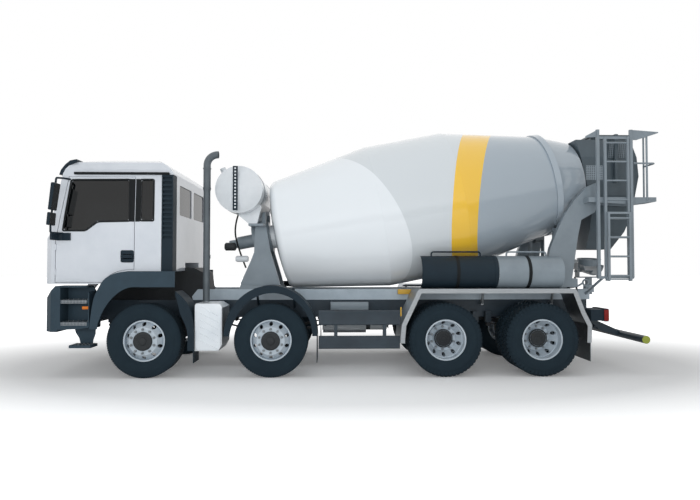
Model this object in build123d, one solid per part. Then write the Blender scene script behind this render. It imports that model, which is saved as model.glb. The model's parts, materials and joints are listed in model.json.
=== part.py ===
"""Concrete mixer truck, four axles, with a tilting cab and a turning drum."""
import math
import os
from functools import cache

from build123d import *

# Overall sizes in millimetres. X runs to the rear from the first axle, Y to the right-hand side, Z up from the ground.
FRONT_OVERHANG = 1475.0
REAR_OVERHANG = 7545.0
ORIGIN_SHIFT = (FRONT_OVERHANG - REAR_OVERHANG) / 2

# Axles and wheels
AXLE_2 = 1795.0
AXLE_3 = 4300.0
AXLE_4 = 5700.0
WHEEL_R = 527.5
TYRE_W = 314.0
TREAD_W = 264.0
RIM_R = 286.0
RIM_FLANGE_R = 299.0
RIM_W = 240.0
RIM_LIP = 12.0
FRONT_WHEEL_Y = 1060.0
TWIN_INNER_Y = 738.0
TWIN_SPACING = 350.0
KINGPIN_INSET = 88.0
KNUCKLE_R = 74.0
NUT_FACE = 168.0
DISC_T = 14.0
HUB_R = 128.0
HAND_HOLE_R = 27.0
HAND_HOLE_PCD = 470.0
HAND_HOLES = 10

# Frame
RAIL_Y = 425.0
RAIL_FLANGE = 75.0
RAIL_T = 12.0
RAIL_TOP = 1060.0
RAIL_H = 270.0
RAIL_FRONT = -1180.0
RAIL_REAR = 6700.0
SUB_FRONT = 480.0
SUB_REAR = 6750.0

# Drum
DRUM_TILT = 11.0
DRUM_X = 4600.0
DRUM_Z = 2631.0
DRUM_R = 1151.0
DRUM_FRONT_S = -2840.0
DRUM_FRONT_R = 871.0
DRUM_WELD_S = -1236.0
RING_S = 1528.0
RING_W = 90.0
RING_R = 845.0
RING_SHELL_R = 803.0
RING_FIT = 0.3
MOUTH_S = 2040.0
MOUTH_R = 620.0
DRUM_WALL = 8.0
HEAD_BULGE = 85.0
HEAD_CORNER = 90.0
ROLLER_R = 125.0
ROLLER_W = 130.0
ROLLER_SPREAD = 33.0
ROLL_GAP = 0.8

# Cab
CAB_Y = 1120.0
CAB_BACK = 374.0
POCKET_X = 211.0
CAB_LOW = 1334.0
CAB_TOP = 3158.0
CAB_WALL = 50.0
GLASS_T = 8.0
DOOR_GAP = 9.0
PIVOT_X = -1300.0
PIVOT_Z = 1020.0

LEFT, RIGHT = -1, 1
SIDES = {"left": LEFT, "right": RIGHT}


def block(x, y, z):
    """A box from its lowest and highest values along each axis."""
    size = [abs(v[1] - v[0]) for v in (x, y, z)]
    centre = [(v[0] + v[1]) / 2 for v in (x, y, z)]
    return Pos(*centre) * Box(*size)


def outline(points, radius=0.0):
    """A flat outline with straight sides and, where a radius is given, round corners."""
    face = make_face(Polyline(*points, close=True))
    return fillet(face.vertices(), radius) if radius else face


def side_prism(points, y, radius=0.0):
    """An outline in X and Z, as thick as y says."""
    plane = Plane(origin=(0, max(y), 0), x_dir=(1, 0, 0), z_dir=(0, -1, 0))
    return extrude(plane * outline(points, radius), max(y) - min(y))


def front_prism(points, x, radius=0.0):
    """An outline in Y and Z, as long as x says."""
    plane = Plane(origin=(min(x), 0, 0), x_dir=(0, 1, 0), z_dir=(1, 0, 0))
    return extrude(plane * outline(points, radius), max(x) - min(x))


def plan_prism(points, z, radius=0.0):
    """An outline in X and Y, as high as z says."""
    return extrude(Plane.XY.offset(min(z)) * outline(points, radius), max(z) - min(z))


def rod(start, end, radius):
    """A round bar between two points."""
    a, b = Vector(*start), Vector(*end)
    plane = Plane(origin=a, z_dir=(b - a).normalized())
    return extrude(plane * Circle(radius), (b - a).length)


def bent_rod(points, radius, bend):
    """A round bar along straight runs joined by arcs."""
    path = FilletPolyline(*points, radius=bend)
    start = Plane(origin=path @ 0, z_dir=path % 0)
    return sweep(start * Circle(radius), path=path)


def turned_y(profile, x, y, z):
    """A profile of radius and place along Y, turned about a crosswise axis."""
    return Pos(x, y, z) * revolve(outline(profile), Axis.Y)


def on_both_sides(shape):
    """The left-hand shape and its mirror image."""
    return [shape, shape.mirror(Plane.XZ)]


def on_side(shape, side):
    """The left-hand shape, mirrored when the right-hand one is wanted."""
    return shape if side == LEFT else shape.mirror(Plane.XZ)


def put(name, shapes):
    """Write one node, moved to the frame whose origin is the middle of the truck on the ground."""
    solids = []
    for shape in shapes if isinstance(shapes, (list, tuple)) else [shapes]:
        solids += shape.solids()
    node = Compound(children=[Pos(ORIGIN_SHIFT, 0, 0) * s for s in solids])
    export_step(node, f"parts/{name}.step")
    print(f"{name}: {len(solids)} solids")


def drum_place(s, r=0.0, angle=0.0):
    """A point beside the drum's axis: s along it, r away from it, angle from straight up to the right."""
    tilt, turn = math.radians(DRUM_TILT), math.radians(angle)
    up = r * math.cos(turn)
    x = DRUM_X + s * math.cos(tilt) - up * math.sin(tilt)
    z = DRUM_Z + s * math.sin(tilt) + up * math.cos(tilt)
    return x, r * math.sin(turn), z


def along_drum(s, r=0.0, angle=0.0):
    """The place whose X runs along the drum's axis."""
    return Pos(*drum_place(s, r, angle)) * Rot(0, -DRUM_TILT, 0)


def arch(points, skin, lip, y_outer, y_inner, lip_t=8.0):
    """A bent plate over a wheel on the left: a thin skin with a deeper lip along its outer edge."""
    low = min(p[1] for p in points)
    floor = low - ARCH_DEPTH
    x_end, z_end = points[-1]
    beyond = [(x_end + ARCH_DEPTH, z_end)] if z_end > low + ARCH_DEPTH else [(x_end, z_end)]
    closed = [(points[0][0], floor), *points[:-1], *beyond, (beyond[0][0], floor)]
    face = fillet(outline(closed).vertices(), ARCH_BEND)
    x0, x1 = min(p[0] for p in points), max(p[0] for p in points)
    trim = block((x0, x1), (y_outer - 10, y_inner + 10), (low, low + 3000))
    parts = []
    for depth, span in ((skin, (y_outer, y_inner)), (lip, (y_outer, y_outer + lip_t))):
        plane = Plane(origin=(0, max(span), 0), x_dir=(1, 0, 0), z_dir=(0, -1, 0))
        width = max(span) - min(span)
        hollow = offset(face, -depth)
        parts.append(extrude(plane * face, width) - extrude(plane * hollow, width))
    return (parts[0] + parts[1]) & trim


def drawn_in(points, depth):
    """A curve moved inwards by a depth, to the right of its direction."""
    out = []
    for i, (x, z) in enumerate(points):
        (ax, az), (bx, bz) = points[max(i - 1, 0)], points[min(i + 1, len(points) - 1)]
        length = math.hypot(bx - ax, bz - az)
        out.append((x + (bz - az) / length * depth, z - (bx - ax) / length * depth))
    return out


def curved_band(outer, inner, y):
    """The sheet between two smooth curves in X and Z, as thick as y says."""
    plane = Plane(origin=(0, max(y), 0), x_dir=(1, 0, 0), z_dir=(0, -1, 0))
    edges = [Spline(*outer), Line(outer[-1], inner[-1]), Spline(*inner[::-1]), Line(inner[0], outer[0])]
    return extrude(plane * make_face(edges), max(y) - min(y))


def curved_wing(outer, inner, skin=6.0, face=8.0):
    """A moulded mudguard on the left: a skin along its outer curve and a face at its outer edge."""
    return (curved_band(outer, inner, (-WING_Y, -WING_Y + face))
            + curved_band(outer, drawn_in(outer, skin), (-WING_Y, WING_INNER_Y)))


def half_ellipse(x, z, a, b, steps=14):
    """Points over the upper half of an ellipse, from its front end to its rear end."""
    turns = [math.pi * (1 - i / steps) for i in range(steps + 1)]
    return [(x + a * math.cos(t), z + b * math.sin(t)) for t in turns]


# Wheels, made for the left side with their outer face towards -Y
def tyre_profile():
    half, tread, bead = TYRE_W / 2, TREAD_W / 2, RIM_W / 2 - RIM_LIP
    left = [(RIM_R, -bead), (RIM_FLANGE_R, -bead), (430, -half), (503, -half + 9), (WHEEL_R, -tread)]
    return left + [(r, -y) for r, y in reversed(left)]


def tyre(x, y):
    return turned_y(tyre_profile(), x, y, WHEEL_R)


def rim_profile(face):
    """Half section of a disc wheel; face is -1 when its nuts look outwards from its middle, 1 when inwards."""
    edge, lip, skin = RIM_W / 2, RIM_LIP, 12.0
    barrel = [(RIM_R - skin, -edge), (RIM_FLANGE_R, -edge), (RIM_FLANGE_R, -edge + lip), (RIM_R, -edge + lip)]
    barrel += [(r, -y) for r, y in reversed(barrel)]
    outer, inner = face * NUT_FACE, face * (NUT_FACE - DISC_T)
    root, bend = RIM_R - skin, 190.0
    disc = [(root, face * 20), (root - 14, face * 20), (bend, inner), (90, inner), (90, outer),
            (bend + 8, outer), (root, face * 60)]
    return barrel, disc


def rim(x, y, face):
    barrel, disc = rim_profile(face)
    wheel = turned_y(barrel, x, y, WHEEL_R) + turned_y(disc, x, y, WHEEL_R)
    for i in range(HAND_HOLES):
        turn = math.radians(360 * (i + 0.5) / HAND_HOLES)
        dx, dz = math.cos(turn) * HAND_HOLE_PCD / 2, math.sin(turn) * HAND_HOLE_PCD / 2
        wheel -= Pos(x + dx, y, WHEEL_R + dz) * (Rot(90, 0, 0) * Cylinder(HAND_HOLE_R, 2 * NUT_FACE + 40))
    return wheel


def hub(x, spans):
    """Round steps along Y, each given by its radius and its two ends."""
    steps = [Pos(x, (a + b) / 2, WHEEL_R) * Rot(90, 0, 0) * Cylinder(r, abs(b - a)) for r, a, b in spans]
    return sum(steps[1:], steps[0])


SPINDLE_R = 45.0
SPINDLE_END = -1185.0
BEARING_GAP = 0.5
HUB_INNER = -1050.0
FRONT_HUB_END = -(FRONT_WHEEL_Y + NUT_FACE + 20)


def front_wheel(x):
    y = -FRONT_WHEEL_Y
    face = y - NUT_FACE
    wheel = rim(x, y, -1) + hub(x, [(112, HUB_INNER, face + 2), (HUB_R, face + DISC_T, FRONT_HUB_END)])
    bore = hub(x, [(SPINDLE_R + BEARING_GAP, HUB_INNER + 1, SPINDLE_END - 4)])
    return wheel - bore


AXLE_TUBE_R = 65.0
AXLE_END = -960.0
BRAKE_DRUM_R = 205.0
BRAKE_DRUM_INNER = -640.0
TWIN_OUTER_Y = TWIN_INNER_Y + TWIN_SPACING
TWIN_PLANE = -(TWIN_INNER_Y + TWIN_SPACING / 2)
PLANET_END = -(TWIN_OUTER_Y - 62)


def twin_rims(x):
    wheel = rim(x, -TWIN_OUTER_Y, 1) + rim(x, -TWIN_INNER_Y, -1)
    spacer = 2 * abs(TWIN_SPACING / 2 - NUT_FACE)
    wheel += hub(x, [(BRAKE_DRUM_R, BRAKE_DRUM_INNER, TWIN_PLANE + spacer / 2 + DISC_T - 2),
                     (BRAKE_DRUM_R, TWIN_PLANE - spacer / 2 - 1, TWIN_PLANE + spacer / 2 + 1),
                     (HUB_R + 4, TWIN_PLANE, PLANET_END + 16), (HUB_R - 12, PLANET_END + 17, PLANET_END)])
    bore = hub(x, [(AXLE_TUBE_R + BEARING_GAP, BRAKE_DRUM_INNER + 1, AXLE_END - 4)])
    return wheel - bore


# Steered axles
KINGPIN_Y = FRONT_WHEEL_Y - KINGPIN_INSET
KINGPIN_R = 24.0
FIST_R = 52.0
FIST_H = 120.0
EYE_H = 46.0
PIN_GAP = 0.5
ARM_X = 180.0
ARM_Z = WHEEL_R - FIST_H / 2 - EYE_H / 2
TIE_R = 17.0
TIE_Z = ARM_Z - 42
BEAM_Z = 430.0
BACK_PLATE_R = 200.0


def knuckle(x):
    """Two eyes on the kingpin, a web, the spindle, the brake's back plate and the track-rod arm."""
    y = -KINGPIN_Y
    eye_low, eye_high = FIST_H / 2 + PIN_GAP, FIST_H / 2 + EYE_H
    post = [Pos(x, y, WHEEL_R + s * (eye_low + eye_high) / 2) * Cylinder(FIST_R, eye_high - eye_low) for s in (-1, 1)]
    pin = Pos(x, y, WHEEL_R) * Cylinder(KINGPIN_R, 2 * eye_high + 16)
    web_y = (y - FIST_R - 20, y - FIST_R - 2)
    web = block((x - 60, x + 60), web_y, (WHEEL_R - eye_high, WHEEL_R + eye_high))
    ears = [block((x - 40, x + 40), (web_y[1] - 4, y), sorted((WHEEL_R + s * eye_low, WHEEL_R + s * eye_high)))
            for s in (-1, 1)]
    plate = hub(x, [(BACK_PLATE_R, web_y[0], web_y[0] + 10), (SPINDLE_R, web_y[0] + 4, SPINDLE_END)])
    arm = block((x + 20, x + ARM_X), (y - 22, y + 22), (ARM_Z - 16, ARM_Z + 16))
    end = Pos(x + ARM_X, y, ARM_Z) * Cylinder(30, 32)
    ball = Pos(x + ARM_X, y, ARM_Z - 30) * Cylinder(11, 40)
    return post[0] + post[1] + pin + web + ears[0] + ears[1] + plate + arm + end + ball


def tie_rod(x):
    """The track rod between both arms, with an eye at each end round the arm's ball pin."""
    shape = rod((x + ARM_X, -KINGPIN_Y + 20, TIE_Z), (x + ARM_X, KINGPIN_Y - 20, TIE_Z), TIE_R)
    for y in (-KINGPIN_Y, KINGPIN_Y):
        shape += Pos(x + ARM_X, y, TIE_Z) * Cylinder(27, 36)
    for y in (-KINGPIN_Y, KINGPIN_Y):
        shape -= Pos(x + ARM_X, y, TIE_Z) * Cylinder(11 + PIN_GAP, 60)
    return shape


def front_axle(x):
    """A forged beam that drops between its two fists."""
    side = [(KINGPIN_Y, WHEEL_R + 45), (KINGPIN_Y - 90, WHEEL_R + 45), (KINGPIN_Y - 230, BEAM_Z + 50),
            (-KINGPIN_Y + 230, BEAM_Z + 50), (-KINGPIN_Y + 90, WHEEL_R + 45), (-KINGPIN_Y, WHEEL_R + 45),
            (-KINGPIN_Y, WHEEL_R - 45), (-KINGPIN_Y + 120, WHEEL_R - 45), (-KINGPIN_Y + 260, BEAM_Z - 50),
            (KINGPIN_Y - 260, BEAM_Z - 50), (KINGPIN_Y - 120, WHEEL_R - 45), (KINGPIN_Y, WHEEL_R - 45)]
    beam = front_prism(side, (x - 45, x + 45))
    for y in (-KINGPIN_Y, KINGPIN_Y):
        beam += Pos(x, y, WHEEL_R) * Cylinder(FIST_R, FIST_H)
    for y in (-KINGPIN_Y, KINGPIN_Y):
        beam -= Pos(x, y, WHEEL_R) * Cylinder(KINGPIN_R + PIN_GAP, 2 * FIST_H)
        beam -= block((x - 70, x + 70), (y - 200, y - FIST_R) if y < 0 else (y + FIST_R, y + 200), (300, 800))
    for y in (-FRONT_SPRING_Y, FRONT_SPRING_Y):
        beam += block((x - 75, x + 75), (y - 45, y + 45), (BEAM_Z + 30, SPRING_SEAT))
    return beam


# Springs
FRONT_SPRING_Y = 400.0
REAR_SPRING_Y = 505.0
SPRING_W = 76.0
SPRING_SEAT = 520.0
SPRING_EYE_Z = 700.0
FRONT_SPRING_HALF = 760.0
REAR_SPRING_HALF = 600.0
LEAF_T = 18.0
EYE_R = 30.0
EYE_TOP = SPRING_EYE_Z - LEAF_T + EYE_R + 0.2
LEAVES = 4


def leaf_spring(x, y, half, seat, eye_z):
    """Arched leaves stacked under the longest, each shorter than the one above."""
    pack = None
    rise = eye_z - seat
    top = seat + LEAVES * LEAF_T
    for i in range(LEAVES):
        reach = half * (1 - i / (LEAVES + 0.5))
        z = top - i * LEAF_T
        lift = (rise - LEAVES * LEAF_T) * (reach / half) ** 2
        upper = ThreePointArc((x - reach, z + lift), (x, z), (x + reach, z + lift))
        lower = ThreePointArc((x + reach, z + lift - LEAF_T), (x, z - LEAF_T), (x - reach, z + lift - LEAF_T))
        ends = [Line(upper @ 1, lower @ 0), Line(lower @ 1, upper @ 0)]
        plane = Plane(origin=(0, y + SPRING_W / 2, 0), x_dir=(1, 0, 0), z_dir=(0, -1, 0))
        leaf = extrude(plane * make_face([upper, ends[0], lower, ends[1]]), SPRING_W)
        pack = leaf if pack is None else pack + leaf
    for end in (-half, half):
        pack += rod((x + end, y - SPRING_W / 2, eye_z - LEAF_T), (x + end, y + SPRING_W / 2, eye_z - LEAF_T), EYE_R)
    return pack


# Frame
RAIL_LOW = RAIL_TOP - RAIL_H
SUB_TOP = RAIL_TOP + 165.0
CROSS_R = 45.0
CROSS_MEMBERS = (-1120.0, 1300.0, 2700.0, 3500.0, 5000.0, 6450.0)


def channel(y, x, z, flange, t):
    """A channel rail whose web faces outwards."""
    web, toe = y, y - math.copysign(flange, y)
    s = math.copysign(t, y)
    points = [(web, z[0]), (toe, z[0]), (toe, z[0] + t), (web - s, z[0] + t), (web - s, z[1] - t), (toe, z[1] - t),
              (toe, z[1]), (web, z[1])]
    return front_prism(points, x)


def frame():
    shape = None
    for y in (-RAIL_Y, RAIL_Y):
        rail = channel(y, (RAIL_FRONT, RAIL_REAR), (RAIL_LOW, RAIL_TOP), RAIL_FLANGE, RAIL_T)
        shape = rail if shape is None else shape + rail
    inner = RAIL_Y - RAIL_T / 2
    for x in CROSS_MEMBERS:
        shape += rod((x, -inner, RAIL_LOW + 110), (x, inner, RAIL_LOW + 110), CROSS_R)
    shape += block((RAIL_REAR - 12, RAIL_REAR), (-inner, inner), (RAIL_LOW, RAIL_TOP))
    for x in (0.0, AXLE_2):
        for y in (-FRONT_SPRING_Y, FRONT_SPRING_Y):
            for end in (-FRONT_SPRING_HALF, FRONT_SPRING_HALF):
                shape += block((x + end - 45, x + end + 45), (y - 25, y + 25), (EYE_TOP, RAIL_LOW + 1))
    for x in (AXLE_3, AXLE_4):
        for y in (-REAR_SPRING_Y, REAR_SPRING_Y):
            s = math.copysign(1, y)
            for end in (-REAR_SPRING_HALF, REAR_SPRING_HALF):
                hanger = block((x + end - 45, x + end + 45), sorted((y - s * 40, y + s * 30)),
                               (EYE_TOP, RAIL_LOW + 90))
                shape += hanger + block((x + end - 45, x + end + 45), sorted((s * (RAIL_Y - 2), y)),
                                        (RAIL_LOW + 30, RAIL_LOW + 90))
    return shape


TOW_BORE_R = 25.0
FRONT_EYE = (-1350.0, (610.0, 650.0))
REAR_EYE = (6785.0, (880.0, 930.0))


def tow_eyes():
    """A towing lug with an upright bore at each end of the frame."""
    x, z = FRONT_EYE
    shape = plan_prism([(x - 60, -40), (x - 40, -60), (-1120, -60), (-1120, 60), (x - 40, 60), (x - 60, 40)], z)
    shape += block((-1180, -1120), (-50, 50), (z[0], 845))
    shape -= Pos(x, 0, z[0]) * Cylinder(TOW_BORE_R, 200)
    x, z = REAR_EYE
    rear = plan_prism([(RAIL_REAR - 2, -80), (x, -70), (x + 50, -45), (x + 50, 45), (x, 70), (RAIL_REAR - 2, 80)], z)
    return [shape, rear - Pos(x, 0, z[0]) * Cylinder(TOW_BORE_R, 200)]


def subframe():
    """Two box rails whose front ends taper to a point, tied by cross tubes."""
    shape = None
    side = [(SUB_FRONT, RAIL_TOP + 50), (SUB_FRONT + 90, SUB_TOP), (SUB_REAR, SUB_TOP), (SUB_REAR, RAIL_TOP),
            (SUB_FRONT + 20, RAIL_TOP)]
    for y in (-RAIL_Y, RAIL_Y - RAIL_FLANGE):
        rail = side_prism(side, (y, y + RAIL_FLANGE))
        shape = rail if shape is None else shape + rail
    for x in (1300.0, 2500.0, 5200.0, 6680.0):
        shape += rod((x, -RAIL_Y + 10, RAIL_TOP + 60), (x, RAIL_Y - 10, RAIL_TOP + 60), 38)
    return shape


ENGINE_Y = 325.0


def engine():
    """The engine and gearbox as one plain block."""
    block_side = [(-820, 640), (520, 640), (560, 720), (1180, 760), (1180, 1010), (700, 1030), (640, 1480),
                  (480, 1560), (-700, 1560), (-820, 1420)]
    shape = side_prism(block_side, (-ENGINE_Y, ENGINE_Y))
    for x in (-450.0, 350.0):
        shape += block((x - 50, x + 50), (-RAIL_Y + RAIL_T + 0.3, RAIL_Y - RAIL_T - 0.3), (860, 920))
    return shape


def rear_axle(x):
    shape = rod((x, AXLE_END, WHEEL_R), (x, -AXLE_END, WHEEL_R), AXLE_TUBE_R)
    shape += Pos(x, 0, WHEEL_R) * Sphere(215)
    shape += rod((x - 330, 0, WHEEL_R + 30), (x, 0, WHEEL_R + 30), 95)
    for y in (-REAR_SPRING_Y, REAR_SPRING_Y):
        shape += block((x - 80, x + 80), (y - 50, y + 50), (WHEEL_R - 40, REAR_SEAT))
    return shape


REAR_SEAT = 600.0

# Mudguards and boards
WING_Y = 1246.0
ARCH_BEND = 60.0
ARCH_DEPTH = 400.0
WING_INNER_Y = -880.0
WING_2_OUTER = (1797.0, 594.0, 663.0, 719.0)
WING_2_INNER = (1820.0, 594.0, 566.0, 610.0)
CAB_WING_OUTER = [(-741, 700), (-737, 790), (-724, 900), (-711, 1000), (-697, 1085), (-664, 1195), (-612, 1300),
                  (-552, 1392), (-478, 1448), (-392, 1486), (-270, 1510), (-120, 1515.4), (150, 1515.6), (445, 1515.6)]
CAB_WING_INNER = [(-634, 700), (-625, 780), (-599, 857), (-551, 964), (-482, 1074), (-390, 1175), (-290, 1248),
                  (-196, 1285), (-60, 1291), (180, 1291), (445, 1291)]
REAR_GUARD = [(3642, 534), (3662, 753), (3905, 1262), (6185, 1262), (6312, 930), (6408, 740), (6398, 488)]
GUARD_TOP = max(z for x, z in REAR_GUARD)
TAIL_OUTER = [(453, 1232), (534, 1165), (620, 1065), (678, 930), (706, 780), (714, 600), (715, 392)]
TAIL_INNER = [(453, 1168), (490, 1055), (529, 903), (590, 770), (622, 660), (629, 540), (629, 393)]
FLAP_T = 10.0


def front_mudguards():
    """The fixed tails behind the first axle, the arches over the second axle, and their flaps."""
    out = []
    tail = curved_wing(TAIL_OUTER, TAIL_INNER)
    tail += block((700, 700 + FLAP_T), (-1225, -905), (215, 420))
    tail += rod((685, -885, 900), (685, -RAIL_Y, 900), 20)
    wing = curved_wing(half_ellipse(*WING_2_OUTER), half_ellipse(*WING_2_INNER))
    wing += block((2447, 2447 + FLAP_T), (-1225, -905), (215, 610))
    for x in (1520.0, 2080.0):
        z = 1240.0
        wing += rod((x, -RAIL_Y + 20, z - 310), (x, -700, z), 18) + rod((x, -712, z), (x, -890, z), 18)
    wing -= block((1000, 2500), (-RAIL_Y, 0), (RAIL_LOW, RAIL_TOP))
    wing -= rod((AXLE_2, -WING_Y - 20, WHEEL_R), (AXLE_2, -WING_Y + 20, WHEEL_R), 585)
    for shape in (tail, wing):
        out += on_both_sides(shape)
    return out


def rear_mudguards():
    shape = arch(REAR_GUARD, 5, 64, -WING_Y, -590)
    shape += block((6398 - FLAP_T, 6398), (-1225, -600), (215, 520))
    for x in (3960.0, 5000.0, 6090.0):
        shape += rod((x, -RAIL_Y, 1000), (x, -RAIL_Y - 130, 1000), 20)
        shape += rod((x, -RAIL_Y - 112, 1000), (x, -RAIL_Y - 200, GUARD_TOP - 3), 20)
    return on_both_sides(shape)


BOARD_X = (2475.0, 3640.0)
POST_IN = 1140.0
BOARDS = ((744.0, 953.0), (405.0, 590.0))


def side_boards():
    """Two long boards a side on posts that hang from the frame."""
    shape = None
    for z in BOARDS:
        board = front_prism([(-1200, z[0] + 12), (-1200, z[1] - 12), (-1188, z[1]), (-1165, z[1]), (-1165, z[1] - 8),
                             (-1184, z[1] - 8), (-1190, z[1] - 16), (-1190, z[0] + 16), (-1184, z[0] + 8),
                             (-1165, z[0] + 8), (-1165, z[0]), (-1188, z[0])], BOARD_X)
        shape = board if shape is None else shape + board
    arms = None
    for x in (2720.0, 3420.0):
        shape += block((x - 25, x + 25), (-1190, -POST_IN), (BOARDS[1][0] + 20, BOARDS[0][1] - 20))
        arm = block((x - 25, x + 25), (-POST_IN - 10, -RAIL_Y), (850, 900))
        arms = arm if arms is None else arms + arm
    return [shape + arms, shape.mirror(Plane.XZ)]


SILENCER_X = (717.0, 1103.0)
SILENCER_Z = (385.0, 1057.0)


def silencer():
    """The silencer behind its ribbed aluminium shield."""
    side = [(SILENCER_X[0], SILENCER_Z[0]), (SILENCER_X[1] - 50, SILENCER_Z[0]), (SILENCER_X[1], SILENCER_Z[0] + 90),
            (SILENCER_X[1], SILENCER_Z[1] - 60), (SILENCER_X[1] - 90, SILENCER_Z[1]),
            (SILENCER_X[0] + 18, SILENCER_Z[1]), (SILENCER_X[0], SILENCER_Z[1] - 25)]
    shape = side_prism(side, (-1200, -640))
    for i in range(5):
        z = SILENCER_Z[0] + 100 + i * 105
        groove = Pos(SILENCER_X[0] + 193, -1200, z) * Rot(0, -28, 0) * Box(330, 16, 14)
        shape -= groove
    return shape + block((860, 960), (-660, -RAIL_Y), (855, 905))


STACK = (788.0, -800.0)
STACK_R = 52.0


def exhaust_stack():
    """The upright pipe, whose wider upper end turns to the rear."""
    x, y = STACK
    neck, top, reach = 2750.0, 3260.0, 170.0
    low = SILENCER_Z[1] + 0.3
    shape = Pos(x, y, (low + neck) / 2) * Cylinder(STACK_R - 2, neck - low)
    path = FilletPolyline((x, y, neck - 30), (x, y, top), (x + reach, y, top), radius=reach - 10)
    start = Plane(origin=path @ 0, z_dir=path % 0)
    shape += sweep(start * Circle(STACK_R + 2), path=path) - sweep(start * Circle(STACK_R - 2), path=path)
    shape += Pos(x, y, neck) * Cylinder(STACK_R + 8, 24)
    shape += Pos(x, y, 3050) * (Cylinder(STACK_R + 9, 16) - Cylinder(STACK_R, 20))
    shape += block((x - 30, x + 30), (y + 40, y + 130), (1700, 1760))
    return shape


def fuel_tank():
    """The tank and the battery box on the right-hand side."""
    tank = front_prism([(560, 420), (POST_IN, 420), (POST_IN, 1000), (560, 1000)], (2500, 3250), 70)
    box = block((3330, 3620), (620, POST_IN), (480, 930))
    for x in (2650.0, 3100.0):
        tank += block((x - 30, x + 30), (RAIL_Y, 570), (820, 880))
    box += block((3430, 3490), (RAIL_Y, 630), (820, 880))
    return [tank, box]


TANK_X, TANK_Z, TANK_R = 1270.0, 2735.0, 352.0
TANK_HALF, TANK_DISH = 850.0, 95.0
TANK_SHELF_Z = 2240.0


def water_tank():
    """A crosswise barrel with domed ends, its saddles, filler stub and sight tube."""
    ends = [ThreePointArc((TANK_R, s * TANK_HALF), (TANK_R * 0.55, s * (TANK_HALF + TANK_DISH * 0.72)),
                          (0, s * (TANK_HALF + TANK_DISH))) for s in (-1, 1)]
    edges = [Line((0, -TANK_HALF - TANK_DISH), (0, TANK_HALF + TANK_DISH)), ends[1],
             Line((TANK_R, TANK_HALF), (TANK_R, -TANK_HALF)), ends[0]]
    barrel = Pos(TANK_X, 0, TANK_Z) * revolve(make_face(edges), Axis.Y)
    stub = rod((TANK_X - 250, -500, TANK_Z + 240), (TANK_X - 310, -500, TANK_Z + 370), 45)
    barrel += stub
    for y in (-560.0, 560.0):
        saddle = side_prism([(TANK_X - 60, TANK_Z - TANK_R + 40), (TANK_X + 280, TANK_Z - 180),
                             (TANK_X + 300, TANK_Z - 250), (TANK_X + 240, TANK_SHELF_Z), (TANK_X + 110, TANK_SHELF_Z),
                             (TANK_X - 40, TANK_Z - TANK_R - 20)], (y - 40, y + 40))
        barrel += saddle
    gauge = block((TANK_X - 60, TANK_X), (-TANK_HALF - TANK_DISH - 30, -TANK_HALF - TANK_DISH + 25),
                  (TANK_Z - 330, TANK_Z + 330))
    arms = [block((TANK_X - 50, TANK_X - 10), (-TANK_HALF - TANK_DISH - 20, -TANK_HALF + 30), (z - 20, z + 20))
            for z in (TANK_Z - 250, TANK_Z + 250)]
    return barrel + gauge + arms[0] + arms[1]


PEDESTAL_Y = (280.0, 320.0)
GEAR_S = (-3270.0, DRUM_FRONT_S - HEAD_BULGE - 60)
GEAR_R = 250.0
PEDESTAL_SIDE = [(1219, SUB_TOP), (1219, 1321), (1378, 1676), (1426, 1806), (1444, 2225), (1530, 2225), (1560, 2440),
                 (1604, 2440), (1612, 2250), (1690, 1800), (1800, 1434), (1860, SUB_TOP)]
TANK_SHELF_X = (1380.0, 1606.0)


def front_pedestal():
    """Two plates that carry the drum's gearbox and motor, and the shelf under the water tank."""
    shape = None
    for y in ((-PEDESTAL_Y[1], -PEDESTAL_Y[0]), PEDESTAL_Y):
        plate = side_prism(PEDESTAL_SIDE, y)
        shape = plate if shape is None else shape + plate
    shape += block((1225, 1790), (-RAIL_Y, RAIL_Y), (SUB_TOP, SUB_TOP + 60))
    shape += block(TANK_SHELF_X, (-620, 620), (TANK_SHELF_Z - 34, TANK_SHELF_Z - 0.3))
    middle = (GEAR_S[0] + GEAR_S[1]) / 2
    gear = along_drum(middle) * Rot(0, 90, 0) * Cylinder(GEAR_R, GEAR_S[1] - GEAR_S[0])
    motor = along_drum(GEAR_S[0] - 130) * Rot(0, 90, 0) * Cylinder(105, 270)
    motor += along_drum(GEAR_S[0] - 330) * Rot(0, 90, 0) * Cylinder(72, 150)
    ring = along_drum(middle) * Rot(0, 90, 0) * Cylinder(GEAR_R + 45, 60)
    return shape + gear + motor + ring


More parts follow.
